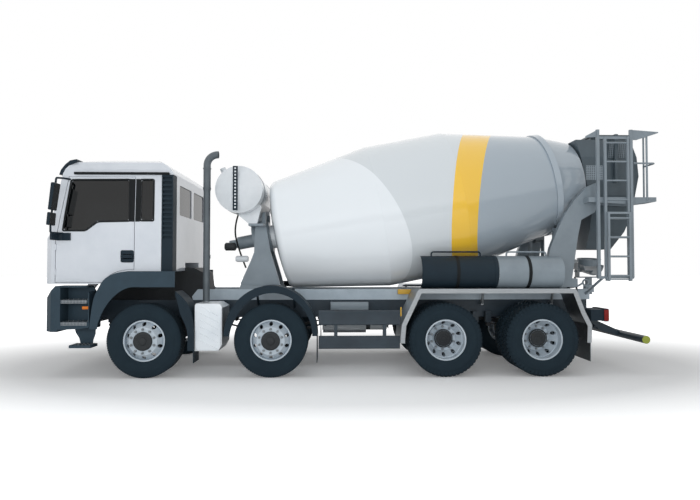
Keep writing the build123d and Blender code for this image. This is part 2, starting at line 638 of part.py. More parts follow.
# Drum
def drum():
    """The mixing drum, welded from three lengths: head and front cone, middle, rear cone with the mouth.
    The ring that runs on the rollers is shrunk on to the rear cone."""
    w = DRUM_WALL
    head_s = DRUM_FRONT_S - HEAD_BULGE
    corner_in = DRUM_FRONT_R - HEAD_CORNER
    arc_mid = ((corner_in * 0.55), head_s + HEAD_BULGE * 0.27)
    s0 = DRUM_FRONT_S
    r45 = HEAD_CORNER * (1 - math.sqrt(0.5))
    dish = ThreePointArc((head_s, 0), (arc_mid[1], arc_mid[0]), (s0 - 8, corner_in))
    corner = ThreePointArc((s0 - 8, corner_in), (s0 + r45 - 4, DRUM_FRONT_R - r45), (s0 + HEAD_CORNER, DRUM_FRONT_R + 14))
    ring_a, ring_b = RING_S - RING_W / 2, RING_S + RING_W / 2
    skin = [(s0 + HEAD_CORNER, DRUM_FRONT_R + 14), (DRUM_WELD_S, DRUM_R), (0, DRUM_R), (ring_b, RING_SHELL_R),
            (MOUTH_S, MOUTH_R), (MOUTH_S, MOUTH_R - w)]
    inner = [(MOUTH_S, MOUTH_R - w), (ring_b, RING_SHELL_R - w), (0, DRUM_R - 2 * w),
             (DRUM_WELD_S, DRUM_R - 2 * w), (s0 + HEAD_CORNER + w, DRUM_FRONT_R), (s0 + 40, corner_in - w),
             (s0 + 20, 0)]
    shell = Polyline(*skin, *inner[1:])
    edges = [dish, corner, shell, Line((s0 + 20, 0), (head_s, 0))]
    body = revolve(make_face(edges), Axis.X)
    flange = Pos((GEAR_S[1] + 1 + head_s + 12) / 2, 0, 0) * Rot(0, 90, 0) * Cylinder(190, head_s + 12 - GEAR_S[1] - 1)
    body += flange
    lengths = ((GEAR_S[1] - 10, DRUM_WELD_S), (DRUM_WELD_S + 0.2, -0.2), (0, MOUTH_S + 10))
    parts = [body & Pos((a + b) / 2, 0, 0) * Box(b - a, 3 * DRUM_R, 3 * DRUM_R) for a, b in lengths]
    seat = [(s, DRUM_R + (RING_SHELL_R - DRUM_R) * s / ring_b + RING_FIT) for s in (ring_a, ring_b)]
    parts.append(revolve(make_face(Polyline(*seat, (ring_b, RING_R), (ring_a, RING_R), seat[0])), Axis.X))
    return [along_drum(0) * part for part in parts]


ROLLER_OUT = RING_R + ROLLER_R + ROLL_GAP


def roller_place(side):
    return along_drum(RING_S, ROLLER_OUT, 180 - side * ROLLER_SPREAD)


ROLLER_PIN_R = 30.0


def roller(side):
    wheel = Rot(0, 90, 0) * Cylinder(ROLLER_R, ROLLER_W)
    return roller_place(side) * (wheel - Rot(0, 90, 0) * Cylinder(ROLLER_PIN_R + PIN_GAP, ROLLER_W + 2))


ARM_Y = (700.0, 800.0)
BEAM_X = (6000.0, 6400.0)
PEDESTAL_BEAM = (1270.0, 1400.0)
CRADLE_GAP = (95.0, 117.0)
TIE_REAR = 6680.0
REAR_ARM = [(5870, 1330), (5985, 1864), (6102, 2150), (6219, 2385), (6353, 2585), (6563, 2800), (6697, 2860),
            (6740, 2560), (6672, 2407), (6464, 2293), (6412, 2051), (6303, 1330)]


def rear_pedestal():
    """The cross beam, two curved arms beside the drum, and the cradles of the support rollers."""
    shape = block(BEAM_X, (-ARM_Y[1], ARM_Y[1]), PEDESTAL_BEAM)
    for side in (-1, 1):
        shape += block(BEAM_X, sorted((side * (RAIL_Y - RAIL_FLANGE), side * RAIL_Y)),
                       (SUB_TOP, PEDESTAL_BEAM[0] + 5))
        arm = side_prism(REAR_ARM, sorted((side * ARM_Y[0], side * ARM_Y[1])))
        shape += arm
        x, y, z = drum_place(RING_S, ROLLER_OUT, 180 - side * ROLLER_SPREAD)
        for end in (-1, 1):
            span = sorted(x + end * v for v in CRADLE_GAP)
            shape += block(span, (y - 60, y + 60), (PEDESTAL_BEAM[1] - 10, z + 60))
        shape += roller_place(side) * (Rot(0, 90, 0) * Cylinder(ROLLER_PIN_R, 2 * CRADLE_GAP[1]))
    tie = block((6600, TIE_REAR), (-ARM_Y[1], ARM_Y[1]), (2440, 2520)) - along_drum(MOUTH_S - 200) * (
        Rot(0, 90, 0) * Cylinder(MOUTH_R + 80, 900))
    return shape + tie


# Hopper, collector and chute
HOPPER_T = 8.0
COLLECTOR = [  # height, front X, rear X, half width
    (3590.0, 6520.0, 7395.0, 500.0),
    (3300.0, 6576.0, 7465.0, 560.0),
    (3000.0, 6632.0, 7485.0, 575.0),
    (2700.0, 6690.0, 7425.0, 575.0),
    (2400.0, 6748.0, 7385.0, 540.0),
    (2132.0, 6760.0, 7320.0, 430.0),
    (1860.0, 6775.0, 7190.0, 245.0),
]
COLLECTOR_HOLE_R = 545.0


def tapered(rows, inset=0.0):
    """A stack of rectangular sections joined by flat walls."""
    shape = None
    for low, high in zip(rows[1:], rows):
        faces = []
        for z, front, rear, half in (low, high):
            points = [(front + inset, -half + inset), (rear - inset, -half + inset), (rear - inset, half - inset),
                      (front + inset, half - inset)]
            faces.append(Plane.XY.offset(z) * outline(points))
        part = loft(faces, ruled=True)
        shape = part if shape is None else shape + part
    return shape


def collector():
    """The bulging funnel behind the drum's mouth, with a round hole in its front plate."""
    inner_rows = list(COLLECTOR)
    inner_rows[0] = (COLLECTOR[0][0] + 1, *COLLECTOR[0][1:])
    inner_rows[-1] = (COLLECTOR[-1][0] - 1, *COLLECTOR[-1][1:])
    hollow = tapered(inner_rows, HOPPER_T)
    mouth = along_drum(MOUTH_S + 40) * (Rot(0, 90, 0) * Cylinder(COLLECTOR_HOLE_R, 90))
    shape = tapered(COLLECTOR) - hollow - mouth
    for side in (-1, 1):
        shape += block((TIE_REAR, 6755), sorted((side * 430, side * 540)), (2450, 2510))
    return shape - hollow - mouth


HOPPER = [(3680.0, 6800.0, 7394.0, 430.0), (3400.0, 6790.0, 7330.0, 360.0), (3150.0, 6760.0, 7080.0, 240.0)]


def hopper():
    """The inlet hopper over the mouth, with its rim and its perforated guard."""
    inner_rows = [(HOPPER[0][0] + 1, *HOPPER[0][1:]), HOPPER[1], (HOPPER[2][0] - 1, *HOPPER[2][1:])]
    shape = tapered(HOPPER) - tapered(inner_rows, HOPPER_T)
    z, front, rear, half = HOPPER[0]
    rim_out = plan_prism([(front - 20, -half - 20), (rear + 20, -half - 20), (rear + 20, half + 20),
                          (front - 20, half + 20)], (z - 30, z))
    shape += rim_out - tapered(inner_rows, 0)
    for side in (-1, 1):
        shape += block((7080, 7130), sorted((side * (half - 20), side * 640)), (z - 60, z - 30))
        shape += block((7080, 7130), sorted((side * 590, side * 640)), (2900, z - 30))
        shape += block((7080, 7130), sorted((side * (COLLECTOR[2][3] + 0.3), side * 640)), (2940, 2990))
    return shape


SWIVEL = (6930.0, 0.0)
SWIVEL_Z = 1290.0
POST_R = 55.0
FORK_Y = 170.0
TILT_Z = 1500.0
TILT_OFFSET = 60.0


def turntable():
    """The turning post behind the frame, with the fork that holds the chute's pivot."""
    x, y = SWIVEL
    shape = Pos(x, y, (1120 + 1400) / 2) * Cylinder(POST_R, 280)
    shape += block((x - FORK_Y - 20, x + FORK_Y + 20), (y - 60, y + 60), (1390, 1410))
    for s in (-1, 1):
        shape += block(sorted((x + s * (FORK_Y + 4), x + s * (FORK_Y + 20))), (y - 60, y + 90), (1400, TILT_Z + 35))
    shape += rod((x - FORK_Y - 40, y + TILT_OFFSET, TILT_Z), (x + FORK_Y + 40, y + TILT_OFFSET, TILT_Z), 15)
    return shape


def swivel_seat():
    """The bracket on the frame's rear end that holds the turning post."""
    x, y = SWIVEL
    shape = Pos(x, y, 1215) * Cylinder(POST_R + 30, 120)
    shape += block((SUB_REAR - 90, x), (-70, 70), (1135, 1195))
    return shape - Pos(x, y, 1215) * Cylinder(POST_R + BEARING_GAP, 200)


CHUTE_R = 215.0
CHUTE_T = 6.0
CHUTE_LENGTH = 1330.0
CHUTE_HEAD = -190.0
CHUTE_RISE = 6.0
CHUTE_LIFT = 125.0


def half_trough(radius, length, t, flare=0.0):
    """A half-round trough along Y from its head, open at the top."""
    if flare:
        pipe = Cone(radius, radius - flare, length) - Cone(radius - t, radius - flare - t, length)
    else:
        pipe = Cylinder(radius, length) - Cylinder(radius - t, length)
    pipe = Pos(0, length / 2, 0) * Rot(-90, 0, 0) * pipe
    return pipe - block((-2 * radius, 2 * radius), (-1, length + 1), (0, 2 * radius))


def chute():
    """The swivelling chute as it travels: across the truck's rear, its end on the right."""
    x, y = SWIVEL
    trough = Pos(0, CHUTE_HEAD, 0) * half_trough(CHUTE_R - 50, CHUTE_LENGTH, CHUTE_T, 35)
    head = loft([Plane.XY.offset(90) * Circle(CHUTE_R - 25), Plane.XY.offset(-20) * Circle(CHUTE_R - 65)])
    head_in = loft([Plane.XY.offset(91) * Circle(CHUTE_R - 31), Plane.XY.offset(-21) * Circle(CHUTE_R - 71)])
    trough += (head - head_in) - block((-120, 120), (0, 300), (-30, 60))
    for lug in (-1, 1):
        trough += block(sorted((lug * 148, lug * (FORK_Y - 2))), (20, 100), (-CHUTE_LIFT - 25, 20))
    local = Pos(x, y + TILT_OFFSET, TILT_Z) * Rot(CHUTE_RISE, 0, 0) * Pos(0, -TILT_OFFSET, CHUTE_LIFT)
    shape = local * trough
    return shape - rod((x - FORK_Y - 60, y + TILT_OFFSET, TILT_Z), (x + FORK_Y + 60, y + TILT_OFFSET, TILT_Z), 15.5)


SPARE_R = 238.0
SPARES = {"spare_chute_dark": (3965.0, 5060.0), "spare_chute_grey": (5085.0, 6040.0)}
SPARE_Y = -965.0
HANDLE_R = 12.0


def spare_chute(x0, x1):
    """A half-round extension trough stored on edge on the left mudguard, with its tube handle on top."""
    length = x1 - x0
    z = GUARD_TOP + 0.3 + SPARE_R
    trough = Pos(x0, SPARE_Y, z) * Rot(-90, 0, 0) * Rot(0, 0, -90) * half_trough(SPARE_R, length, 6)
    top = z + SPARE_R - 3
    y = SPARE_Y - 20
    loop = [(x0 + 165, y, top - 5), (x0 + 165, y, top + 62), (x1 - 200, y, top + 62), (x1 - 200, y, top - 5)]
    return trough + bent_rod(loop, HANDLE_R, 35)


# Platform, ladder and rear end
LADDER_Y = -1010.0
LADDER_X = (6737.0, 7083.0)
GUARD_X = (6627.0, 7130.0)
LADDER_LOW = 1400.0
LADDER_TOP = 3625.0
STRINGER = 42.0
RUNG_R = 13.0
RUNG_PITCH = 284.0
PLATFORM_Z = (2515.0, 2620.0)
PLATFORM_X = (6500.0, 7527.0)
PLATFORM_IN_X = 6750.0
PLATFORM_Y = (-980.0, -665.0)


def post(x, y, z, size=STRINGER):
    return block((x - size / 2, x + size / 2), (y - size / 2, y + size / 2), z)


def ladder():
    """The fixed ladder with its guard posts, the platform behind it and the rails round the platform."""
    shape = None
    for x in LADDER_X:
        rail = post(x, LADDER_Y, (LADDER_LOW, LADDER_TOP - 100), 36)
        shape = rail if shape is None else shape + rail
    count = int((LADDER_TOP - 150 - LADDER_LOW) / RUNG_PITCH) + 1
    for i in range(count):
        z = LADDER_LOW + 45 + i * RUNG_PITCH
        shape += rod((LADDER_X[0], LADDER_Y, z), (LADDER_X[1], LADDER_Y, z), RUNG_R)
    for x in GUARD_X:
        shape += post(x, LADDER_Y, (LADDER_LOW, LADDER_TOP))
    for z in (LADDER_LOW + 20, LADDER_TOP - 120):
        shape += block((GUARD_X[0], GUARD_X[1]), (LADDER_Y - 12, LADDER_Y + 12), (z - 20, z + 20))
    floor = side_prism([(PLATFORM_X[0], PLATFORM_Z[0] + 30), (PLATFORM_X[0], PLATFORM_Z[1]),
                        (PLATFORM_X[1], PLATFORM_Z[1]), (PLATFORM_X[1], PLATFORM_Z[0] + 40),
                        (GUARD_X[1] + 60, PLATFORM_Z[0])], PLATFORM_Y)
    floor -= block((PLATFORM_X[0] - 1, PLATFORM_IN_X), (-ARM_Y[1] - 0.2, 0), (PLATFORM_Z[0] - 1, PLATFORM_Z[1] + 1))
    hollow = block((PLATFORM_X[0] + 8, PLATFORM_X[1] - 8), (PLATFORM_Y[0] + 8, -ARM_Y[1] - 12),
                   (PLATFORM_Z[0] - 10, PLATFORM_Z[1] - 8))
    hollow += block((PLATFORM_IN_X + 8, PLATFORM_X[1] - 8), (-ARM_Y[1] - 20, PLATFORM_Y[1] - 8),
                    (PLATFORM_Z[0] - 10, PLATFORM_Z[1] - 8))
    shape += floor - hollow
    for x in GUARD_X:
        shape += post(x, (LADDER_Y + PLATFORM_Y[0]) / 2 + 8, (PLATFORM_Z[1] - 60, PLATFORM_Z[1] - 20), 40)
    shape += side_prism([(GUARD_X[1], LADDER_TOP), (REAR_OVERHANG, LADDER_TOP - 30),
                         (REAR_OVERHANG, LADDER_TOP - 45), (GUARD_X[1] + 90, LADDER_TOP - 150),
                         (GUARD_X[1], LADDER_TOP - 150)], (LADDER_Y - 10, LADDER_Y + 10))
    shape += side_prism([(GUARD_X[0], LADDER_TOP), (GUARD_X[0] - 179, LADDER_TOP - 95),
                         (GUARD_X[0] - 179, LADDER_TOP - 120), (GUARD_X[0], LADDER_TOP - 110)],
                        (LADDER_Y - 10, LADDER_Y + 10))
    rear = PLATFORM_X[1] - 20
    y_in = PLATFORM_Y[1] - 14
    shape += rod((7385, PLATFORM_Y[0] - 4, PLATFORM_Z[1] - 40), (7385, PLATFORM_Y[0] - 4, LADDER_TOP - 60), 15)
    for z in (3130.0, 3590.0):
        shape += bent_rod([(7180, LADDER_Y + 24, z), (rear, LADDER_Y + 24, z), (rear, y_in, z)], 13, 40)
    shape += rod((rear, y_in, PLATFORM_Z[1] - 20), (rear, y_in, 3600), 14)
    strut = rod((6690, -RAIL_Y + 30, 1140), (6690, LADDER_Y, LADDER_LOW + 20), 20)
    shape += strut - block((6600, 6800), (-RAIL_Y, 0), (RAIL_TOP, SUB_TOP))
    shape += block((6612, 6700), (LADDER_Y - 10, LADDER_Y + 10), (LADDER_LOW + 5, LADDER_LOW + 35))
    return shape


FOLD_Y = LADDER_Y - 50.0
FOLD_Z = LADDER_LOW - 12.0
FOLD_PLANE_Y = LADDER_Y - 64.0
FOLD_TOP = 2390.0
FOLD_X = (6752.0, 7068.0)


def ladder_hinges():
    """Two ears at the ladder's foot and the pin on which the lower ladder folds."""
    shape = None
    for x, s in zip(FOLD_X, (-1, 1)):
        ear = block(sorted((x + s * 18, x + s * 30)), (FOLD_Y - 18, LADDER_Y), (FOLD_Z - 18, LADDER_LOW + 30))
        shape = ear if shape is None else shape + ear
    return shape + rod((FOLD_X[0] - 32, FOLD_Y, FOLD_Z), (FOLD_X[1] + 32, FOLD_Y, FOLD_Z), 9)


def lower_ladder():
    """The lower ladder, folded up against the fixed one."""
    shape = None
    for x in FOLD_X:
        rail = post(x, FOLD_PLANE_Y, (FOLD_Z + 20, FOLD_TOP), 30)
        eye = rod((x - 15, FOLD_Y, FOLD_Z), (x + 15, FOLD_Y, FOLD_Z), 22)
        eye += block((x - 15, x + 15), (FOLD_PLANE_Y - 15, FOLD_Y + 2), (FOLD_Z, FOLD_Z + 30))
        rail = rail + eye
        shape = rail if shape is None else shape + rail
    for i in range(4):
        z = FOLD_Z + 60 + i * RUNG_PITCH
        shape += rod((FOLD_X[0], FOLD_PLANE_Y, z), (FOLD_X[1], FOLD_PLANE_Y, z), RUNG_R)
    shape += block(FOLD_X, (FOLD_PLANE_Y - 12, FOLD_PLANE_Y + 12), (FOLD_TOP - 30, FOLD_TOP))
    return shape - rod((FOLD_X[0] - 44, FOLD_Y, FOLD_Z), (FOLD_X[1] + 30, FOLD_Y, FOLD_Z), 9 + PIN_GAP)


BAR = (7222.0, 520.0)
BAR_R = 57.0
BAR_HALF = 1195.0


def underrun_bar():
    """A round bar across the rear on two arms that drop from the frame's end."""
    shape = rod((BAR[0], -BAR_HALF, BAR[1]), (BAR[0], BAR_HALF, BAR[1]), BAR_R)
    side = [(6560, 800), (6690, 800), (BAR[0], BAR[1] + 45), (BAR[0], BAR[1] - 45), (7050, 540), (6640, 650), (6560, 660)]
    for y in (-RAIL_Y, RAIL_Y - 14):
        arm = side_prism(side, (y, y + 14))
        shape += arm
    for y in (-RAIL_Y - 60, RAIL_Y + 46):
        shape += side_prism([(6760, 700), (BAR[0], BAR[1] + 40), (BAR[0], BAR[1] - 40), (6900, 570)], (y, y + 14))
        shape += block((6800, 6830), sorted((y + 7, math.copysign(RAIL_Y - 7, y))), (625, 660))
    return shape - frame_clearance()


def frame_clearance():
    """The space of the two rails, so that the arms end at their lower flanges."""
    return block((6400, RAIL_REAR + 1), (-RAIL_Y - 1, RAIL_Y + 1), (RAIL_LOW - 0.3, RAIL_TOP))


TAIL_LAMP = ((6443.0, 6699.0), (-1150.0, -760.0), (780.0, 966.0))


def lamps():
    """Tail lamp boxes on their arms, headlamps in the bumper, and the side markers."""
    out = []
    x, y, z = TAIL_LAMP
    body = block((x[0], x[1] - 60), (y[0] + 12, y[1] - 12), (z[0] + 12, z[1] - 12))
    lens = block((x[1] - 60, x[1]), y, z)
    arm = block((6480, 6540), (y[1] - 14, -RAIL_Y - 0.3), (850, 895))
    out += on_both_sides(body + lens + arm)
    return out


def headlamps():
    side = [(HEAD_X[0], HEAD_Z[0]), (HEAD_X[1], HEAD_Z[0]), (HEAD_X[1], HEAD_Z[1]), (HEAD_X[0] + 25, HEAD_Z[1])]
    return on_both_sides(side_prism(side, (-HEAD_Y[1], -HEAD_Y[0])))


# Bumper
HEAD_X = (-1440.0, -1330.0)
HEAD_Y = (640.0, 960.0)
HEAD_Z = (800.0, 985.0)
BUMPER_Z = (660.0, 1150.0)
STEP_SIDE = [(-1420, 683), (-1420, 1120), (-1235, 1308), (-815, 1308), (-760, 1200), (-760, 725), (-900, 700)]
TREADS = ((750.0, 800.0), (1060.0, 1110.0))
STEP_Y = (-1215.0, -940.0)
STEP_BRACKET = [(-1080, 725), (-1050, 620), (-1000, 545), (-975, 440), (-810, 440), (-800, 520), (-770, 600),
                (-765, 730)]
LOW_STEP = ((-1045.0, -742.0), (-1200.0, -960.0), (430.0, 470.0))


def bumper():
    """The bowed bumper with its step boxes, the treads in them and the hanging lower steps."""
    front = [(-1475, -700), (-1455, -950), (-1400, -1110), (-1300, -1205), (-1240, -1215)]
    body = plan_prism(front + [(-1120, -1215), (-1120, 1215)] + [(x, -y) for x, y in front[::-1]], BUMPER_Z)
    whole = plan_prism(front + [(-700, -1215), (-700, 1215)] + [(x, -y) for x, y in front[::-1]], (600, 1400))
    side = side_prism([(-1480, 700), (-1480, 1090), (-1380, 1150), (-1205, 1150), (-1205, 660), (-1440, 660)],
                      (-1300, 1300))
    shape = body & side
    shape -= block((-1415, -1100), (-900, 900), (700, 1200)) + block((-1215, -1100), (-900, 900), (600, 720))
    boxes = None
    for s in (-1, 1):
        box = side_prism(STEP_SIDE, sorted((s * STEP_Y[0], s * STEP_Y[1]))) & whole
        for low, high in ((TREADS[0][1], TREADS[1][0]), (TREADS[1][1], 1288.0)):
            box -= block((-1165, -775), sorted((s * (STEP_Y[0] - 10), s * (STEP_Y[1] - 30))), (low, high))
        shape += box
        (x0, x1), y, z = LOW_STEP
        tread = block((x0, x1), sorted((s * y[0], s * y[1])), z)
        tread += side_prism(STEP_BRACKET, sorted((s * (y[1] - 12), s * y[1])))
        shape += tread
    for s in (-1, 1):
        shape -= block((HEAD_X[0] - 60, HEAD_X[1]), sorted((s * (HEAD_Y[0] - 4), s * (HEAD_Y[1] + 4))),
                       (HEAD_Z[0] - 4, HEAD_Z[1] + 4))
        shape += block((-1200, -1150), sorted((s * (RAIL_Y + 1), s * 960)), (790, 860))
        shape += block((-1200, RAIL_FRONT - 0.3), sorted((s * (RAIL_Y - 60), s * (RAIL_Y + 30))), (RAIL_LOW, RAIL_TOP))
    return shape


# Cab
DOOR_AXIS = (-1281.0, CAB_Y)
DOOR_HINGES = (1500.0, 1860.0)
HINGE_H = 60.0
BARREL_R = 8.0
DOOR_PIN_R = 4.0
EAR_R = 12.0
EAR_T = 14.0
CAB_PLAN = [(-1465, -700), (-1460, -950), (-1430, -1060), (-1350, -1114), (-1290, -CAB_Y), (CAB_BACK, -CAB_Y),
            (CAB_BACK, CAB_Y), (-1290, CAB_Y), (-1350, 1114), (-1430, 1060), (-1460, 950), (-1465, 700)]
CAB_SIDE = [(-1465, CAB_LOW), (-1465, 1950), (-1380, 2040), (-1207, 2923), (-1150, 3040), (-1040, 3112),
            (-642, CAB_TOP), (100, CAB_TOP), (313, 3016), (CAB_BACK, 2930), (CAB_BACK, 1516), (-262, 1516), (-392, 1490),
            (-480, 1452), (-556, 1394), (-598, CAB_LOW)]
CAB_FACE = [(-CAB_Y, 1200), (-CAB_Y, 2300), (-1085, 2990), (-1000, 3100), (-800, CAB_TOP), (800, CAB_TOP), (1000, 3100),
            (1085, 2990), (CAB_Y, 2300), (CAB_Y, 1200)]
TUNNEL = ((-950.0, 500.0), 430.0, 1640.0)
DOOR_X = (-1290.0, -167.0)
DOOR_SIDE = [(DOOR_X[0], 1352), (DOOR_X[0], 1950), (-1122, 2880), (DOOR_X[1], 2880), (DOOR_X[1], 1534), (-268, 1534),
             (-398, 1508), (-490, 1468), (-570, 1408), (-612, 1352)]
DOOR_GLASS = [(-1178, 2105), (-868, 2105), (-697, 2235), (-250, 2245), (-262, 2830), (-1078, 2820)]
QUARTER_GLASS = [(-80, 2250), (-88, 2830), (86, 2830), (92, 2250)]
SCREEN_GLASS = [(-970, 2110), (-900, 2900), (900, 2900), (970, 2110)]
REAR_GLASS = [(-765, 2350), (-765, 2800), (-60, 2800), (-60, 2350)]
GLASS_IN = 14.0
FLAP_Y = 690.0
FLAP_Z = (1352.0, 1910.0)
FLAP_OUT, FLAP_IN, FLAP_POCKET = -8.0, 15.0, 22.0
FLAP_PIN = (-1461.0, 1927.0)
FLAP_HINGES = (-300.0, 300.0)


@cache
def cab_block(inset):
    """The cab's outside, drawn in from every face by the inset."""
    plan, side, face = outline(CAB_PLAN), outline(CAB_SIDE), outline(CAB_FACE)
    if inset:
        plan, side, face = (offset(f, -inset, kind=Kind.INTERSECTION) for f in (plan, side, face))
    side_plane = Plane(origin=(0, 1300, 0), x_dir=(1, 0, 0), z_dir=(0, -1, 0))
    face_plane = Plane(origin=(-1600, 0, 0), x_dir=(0, 1, 0), z_dir=(1, 0, 0))
    shape = extrude(Plane.XY.offset(1200) * plan, 2100) & extrude(side_plane * side, 2600)
    shape &= extrude(face_plane * face, 2000)
    (x0, x1), y, z = TUNNEL
    pocket = block((POCKET_X - inset, CAB_BACK + 50), (-1200, -920 + inset), (1400, 2912 + inset))
    return shape - block((x0 - inset, x1), (-y - inset, y + inset), (1100, z + inset)) - pocket


def cab_walls():
    walls = cab_block(0) - cab_block(CAB_WALL)
    walls -= front_skin(-20, FLAP_POCKET) & block((-1600, -1300), (-FLAP_Y - 6, FLAP_Y + 6),
                                                  (FLAP_Z[0] - 6, FLAP_Z[1] + 6))
    x, z = FLAP_PIN
    for y in FLAP_HINGES:
        walls -= block((-1600, x + 17), (y - 62, y + 62), (FLAP_Z[1] - 5, z + 17))
        walls += rod((x, y - 70, z), (x, y + 70, z), 5)
    return walls


def front_skin(outer, inner):
    """The layer of the cab's front between two depths under its outside."""
    return (cab_block(outer) - cab_block(inner)) & block((-1600, -1300), (-900, 900), (1336, 2100))


def mirrored_outline(points):
    return [(-y, z) for y, z in points]


def window_cuts():
    """The openings of the windscreen, the side and the rear windows."""
    cuts = [front_prism(SCREEN_GLASS, (-1600, -1120), 60)]
    for points in (REAR_GLASS, mirrored_outline(REAR_GLASS)):
        cuts.append(front_prism(points, (250, 500), 40))
    for y in ((-1300, -1000), (1000, 1300)):
        cuts.append(side_prism(QUARTER_GLASS, y, 30))
        cuts.append(side_prism(DOOR_GLASS, y, 30))
    return cuts


def door_zone(side, gap):
    face = outline(DOOR_SIDE)
    face = offset(face, -gap, kind=Kind.INTERSECTION) if gap else face
    plane = Plane(origin=(0, 1300 if side > 0 else -CAB_Y + CAB_WALL + 4, 0), x_dir=(1, 0, 0), z_dir=(0, -1, 0))
    return extrude(plane * face, 300 if side < 0 else 1300 - CAB_Y + CAB_WALL + 4)


def cab_shell(walls):
    shape = walls
    for side in (-1, 1):
        shape -= door_zone(side, 0)
    for cut in window_cuts():
        shape -= cut
    return shape


def glass_sheet():
    return cab_block(GLASS_IN) - cab_block(GLASS_IN + GLASS_T)


def cab_glass(sheet):
    cuts = window_cuts()
    panes = [sheet & cut for cut in cuts[:3]]
    panes += [sheet & cuts[3], sheet & cuts[5]]
    return panes


def door(walls, side):
    """One door: its part of the cab's walls, the handle, and two hinge barrels at its front edge."""
    shape = (walls & door_zone(side, DOOR_GAP)) - window_cuts()[4 if side < 0 else 6]
    x, y = DOOR_AXIS[0], side * DOOR_AXIS[1]
    for z in DOOR_HINGES:
        shape -= rod((x, y, z - HINGE_H / 2 - EAR_T - 0.8), (x, y, z + HINGE_H / 2 + EAR_T + 0.8), EAR_R + 1.5)
        shape += rod((x, y, z - HINGE_H / 2), (x, y, z + HINGE_H / 2), BARREL_R)
        shape += block((x, x + 30), sorted((y - side * 2, y - side * 40)), (z - HINGE_H / 2, z + HINGE_H / 2))
        shape -= rod((x, y, z - HINGE_H), (x, y, z + HINGE_H), DOOR_PIN_R + PIN_GAP)
    return shape + block((-330, -200), sorted((side * (CAB_Y - 4), side * (CAB_Y + 10))), (1690, 1760))


def door_hinges():
    """The pins on which the doors turn, each held by two ears on the cab's front pillar."""
    shape = None
    for s in (-1, 1):
        x, y = DOOR_AXIS[0], s * DOOR_AXIS[1]
        for z in DOOR_HINGES:
            pin = rod((x, y, z - HINGE_H / 2 - EAR_T), (x, y, z + HINGE_H / 2 + EAR_T), DOOR_PIN_R)
            for end in (-1, 1):
                pin += rod((x, y, z + end * (HINGE_H / 2 + 0.7)), (x, y, z + end * (HINGE_H / 2 + EAR_T)), EAR_R)
            shape = pin if shape is None else shape + pin
    return shape


def door_glass(sheet, side):
    return sheet & window_cuts()[4 if side < 0 else 6]


def cab_wing():
    return curved_wing(CAB_WING_OUTER, CAB_WING_INNER) - cab_block(-0.3)


INTAKE_X = (POCKET_X + 0.3, CAB_BACK)
INTAKE_Y = (-1112.0, -920.3)
INTAKE_Z = (1516.0, 2905.0)
SLATS = 14


def intake():
    """The air intake column in the cab's rear left corner, with its slats."""
    column = block(INTAKE_X, INTAKE_Y, INTAKE_Z)
    pitch = (INTAKE_Z[1] - 1985) / SLATS
    for i in range(SLATS):
        z = 1985 + i * pitch
        column -= block((INTAKE_X[0] + 18, INTAKE_X[1] - 18), (INTAKE_Y[0] - 1, INTAKE_Y[0] + 26), (z, z + pitch * 0.55))
    return [column]


def visor():
    """The sun visor, hollow to the windscreen and seated on the roof's front edge."""
    side = [(-1286, 2914), (-1262, 2985), (-1200, 3065), (-1130, 3122), (-1040, 3140), (-1030, 3108), (-1140, 3050),
            (-1162, 3062), (-1222, 2916)]
    return side_prism(side, (-1040, 1040)) - cab_block(-0.3)


def front_flap():
    """The front flap, whose lower half is an open grille of slats."""
    shape = front_skin(FLAP_OUT, FLAP_IN) & block((-1600, -1300), (-FLAP_Y, FLAP_Y), FLAP_Z)
    groove = front_skin(-20, 6)
    for i in range(5):
        z = FLAP_Z[0] + 60 + i * 78
        shape -= groove & block((-1600, -1300), (-FLAP_Y + 50, FLAP_Y - 50), (z, z + 48))
    x, z = FLAP_PIN
    for y in FLAP_HINGES:
        ear = block((x - 5, x + 5), (y - 50, y + 50), (FLAP_Z[1] - 5, z)) + rod((x, y - 50, z), (x, y + 50, z), 10)
        shape += ear - rod((x, y - 60, z), (x, y + 60, z), 5 + PIN_GAP)
    return shape


SEAT_Y = 560.0


def seats():
    out = []
    for y in (-SEAT_Y, SEAT_Y):
        cushion = side_prism([(-640, 1800), (-640, 1900), (-180, 1880), (-180, 1780)], (y - 250, y + 250), 30)
        back = side_prism([(-190, 1790), (-200, 1960), (-110, 2560), (-20, 2560), (-60, 1790)], (y - 240, y + 240), 30)
        head = side_prism([(-120, 2550), (-110, 2720), (-40, 2720), (-50, 2550)], (y - 140, y + 140), 20)
        base = block((-520, -240), sorted((math.copysign(490, y), math.copysign(680, y))), (1400, 1800))
        out.append(cushion + back + head + (base & cab_block(CAB_WALL + 0.3)))
    return out



def dash():
    """The dashboard from door to door, with the column and the steering wheel."""
    shape = side_prism([(-1412, 1560), (-1412, 2010), (-1290, 2070), (-1130, 1990), (-1110, 1800), (-1220, 1560)],
                       (-1000, 1000), 25) & cab_block(CAB_WALL + 1)
    wheel = Pos(-870, -SEAT_Y, 2080) * Rot(0, -35, 0) * Torus(215, 15)
    column = rod((-1180, -SEAT_Y, 1850), (-870, -SEAT_Y, 2080), 30)
    spoke = Pos(-870, -SEAT_Y, 2080) * Rot(0, -35, 0) * Box(40, 420, 16)
    return shape + wheel + column + spoke


MIRROR_Y = (-1440.0, -1270.0)


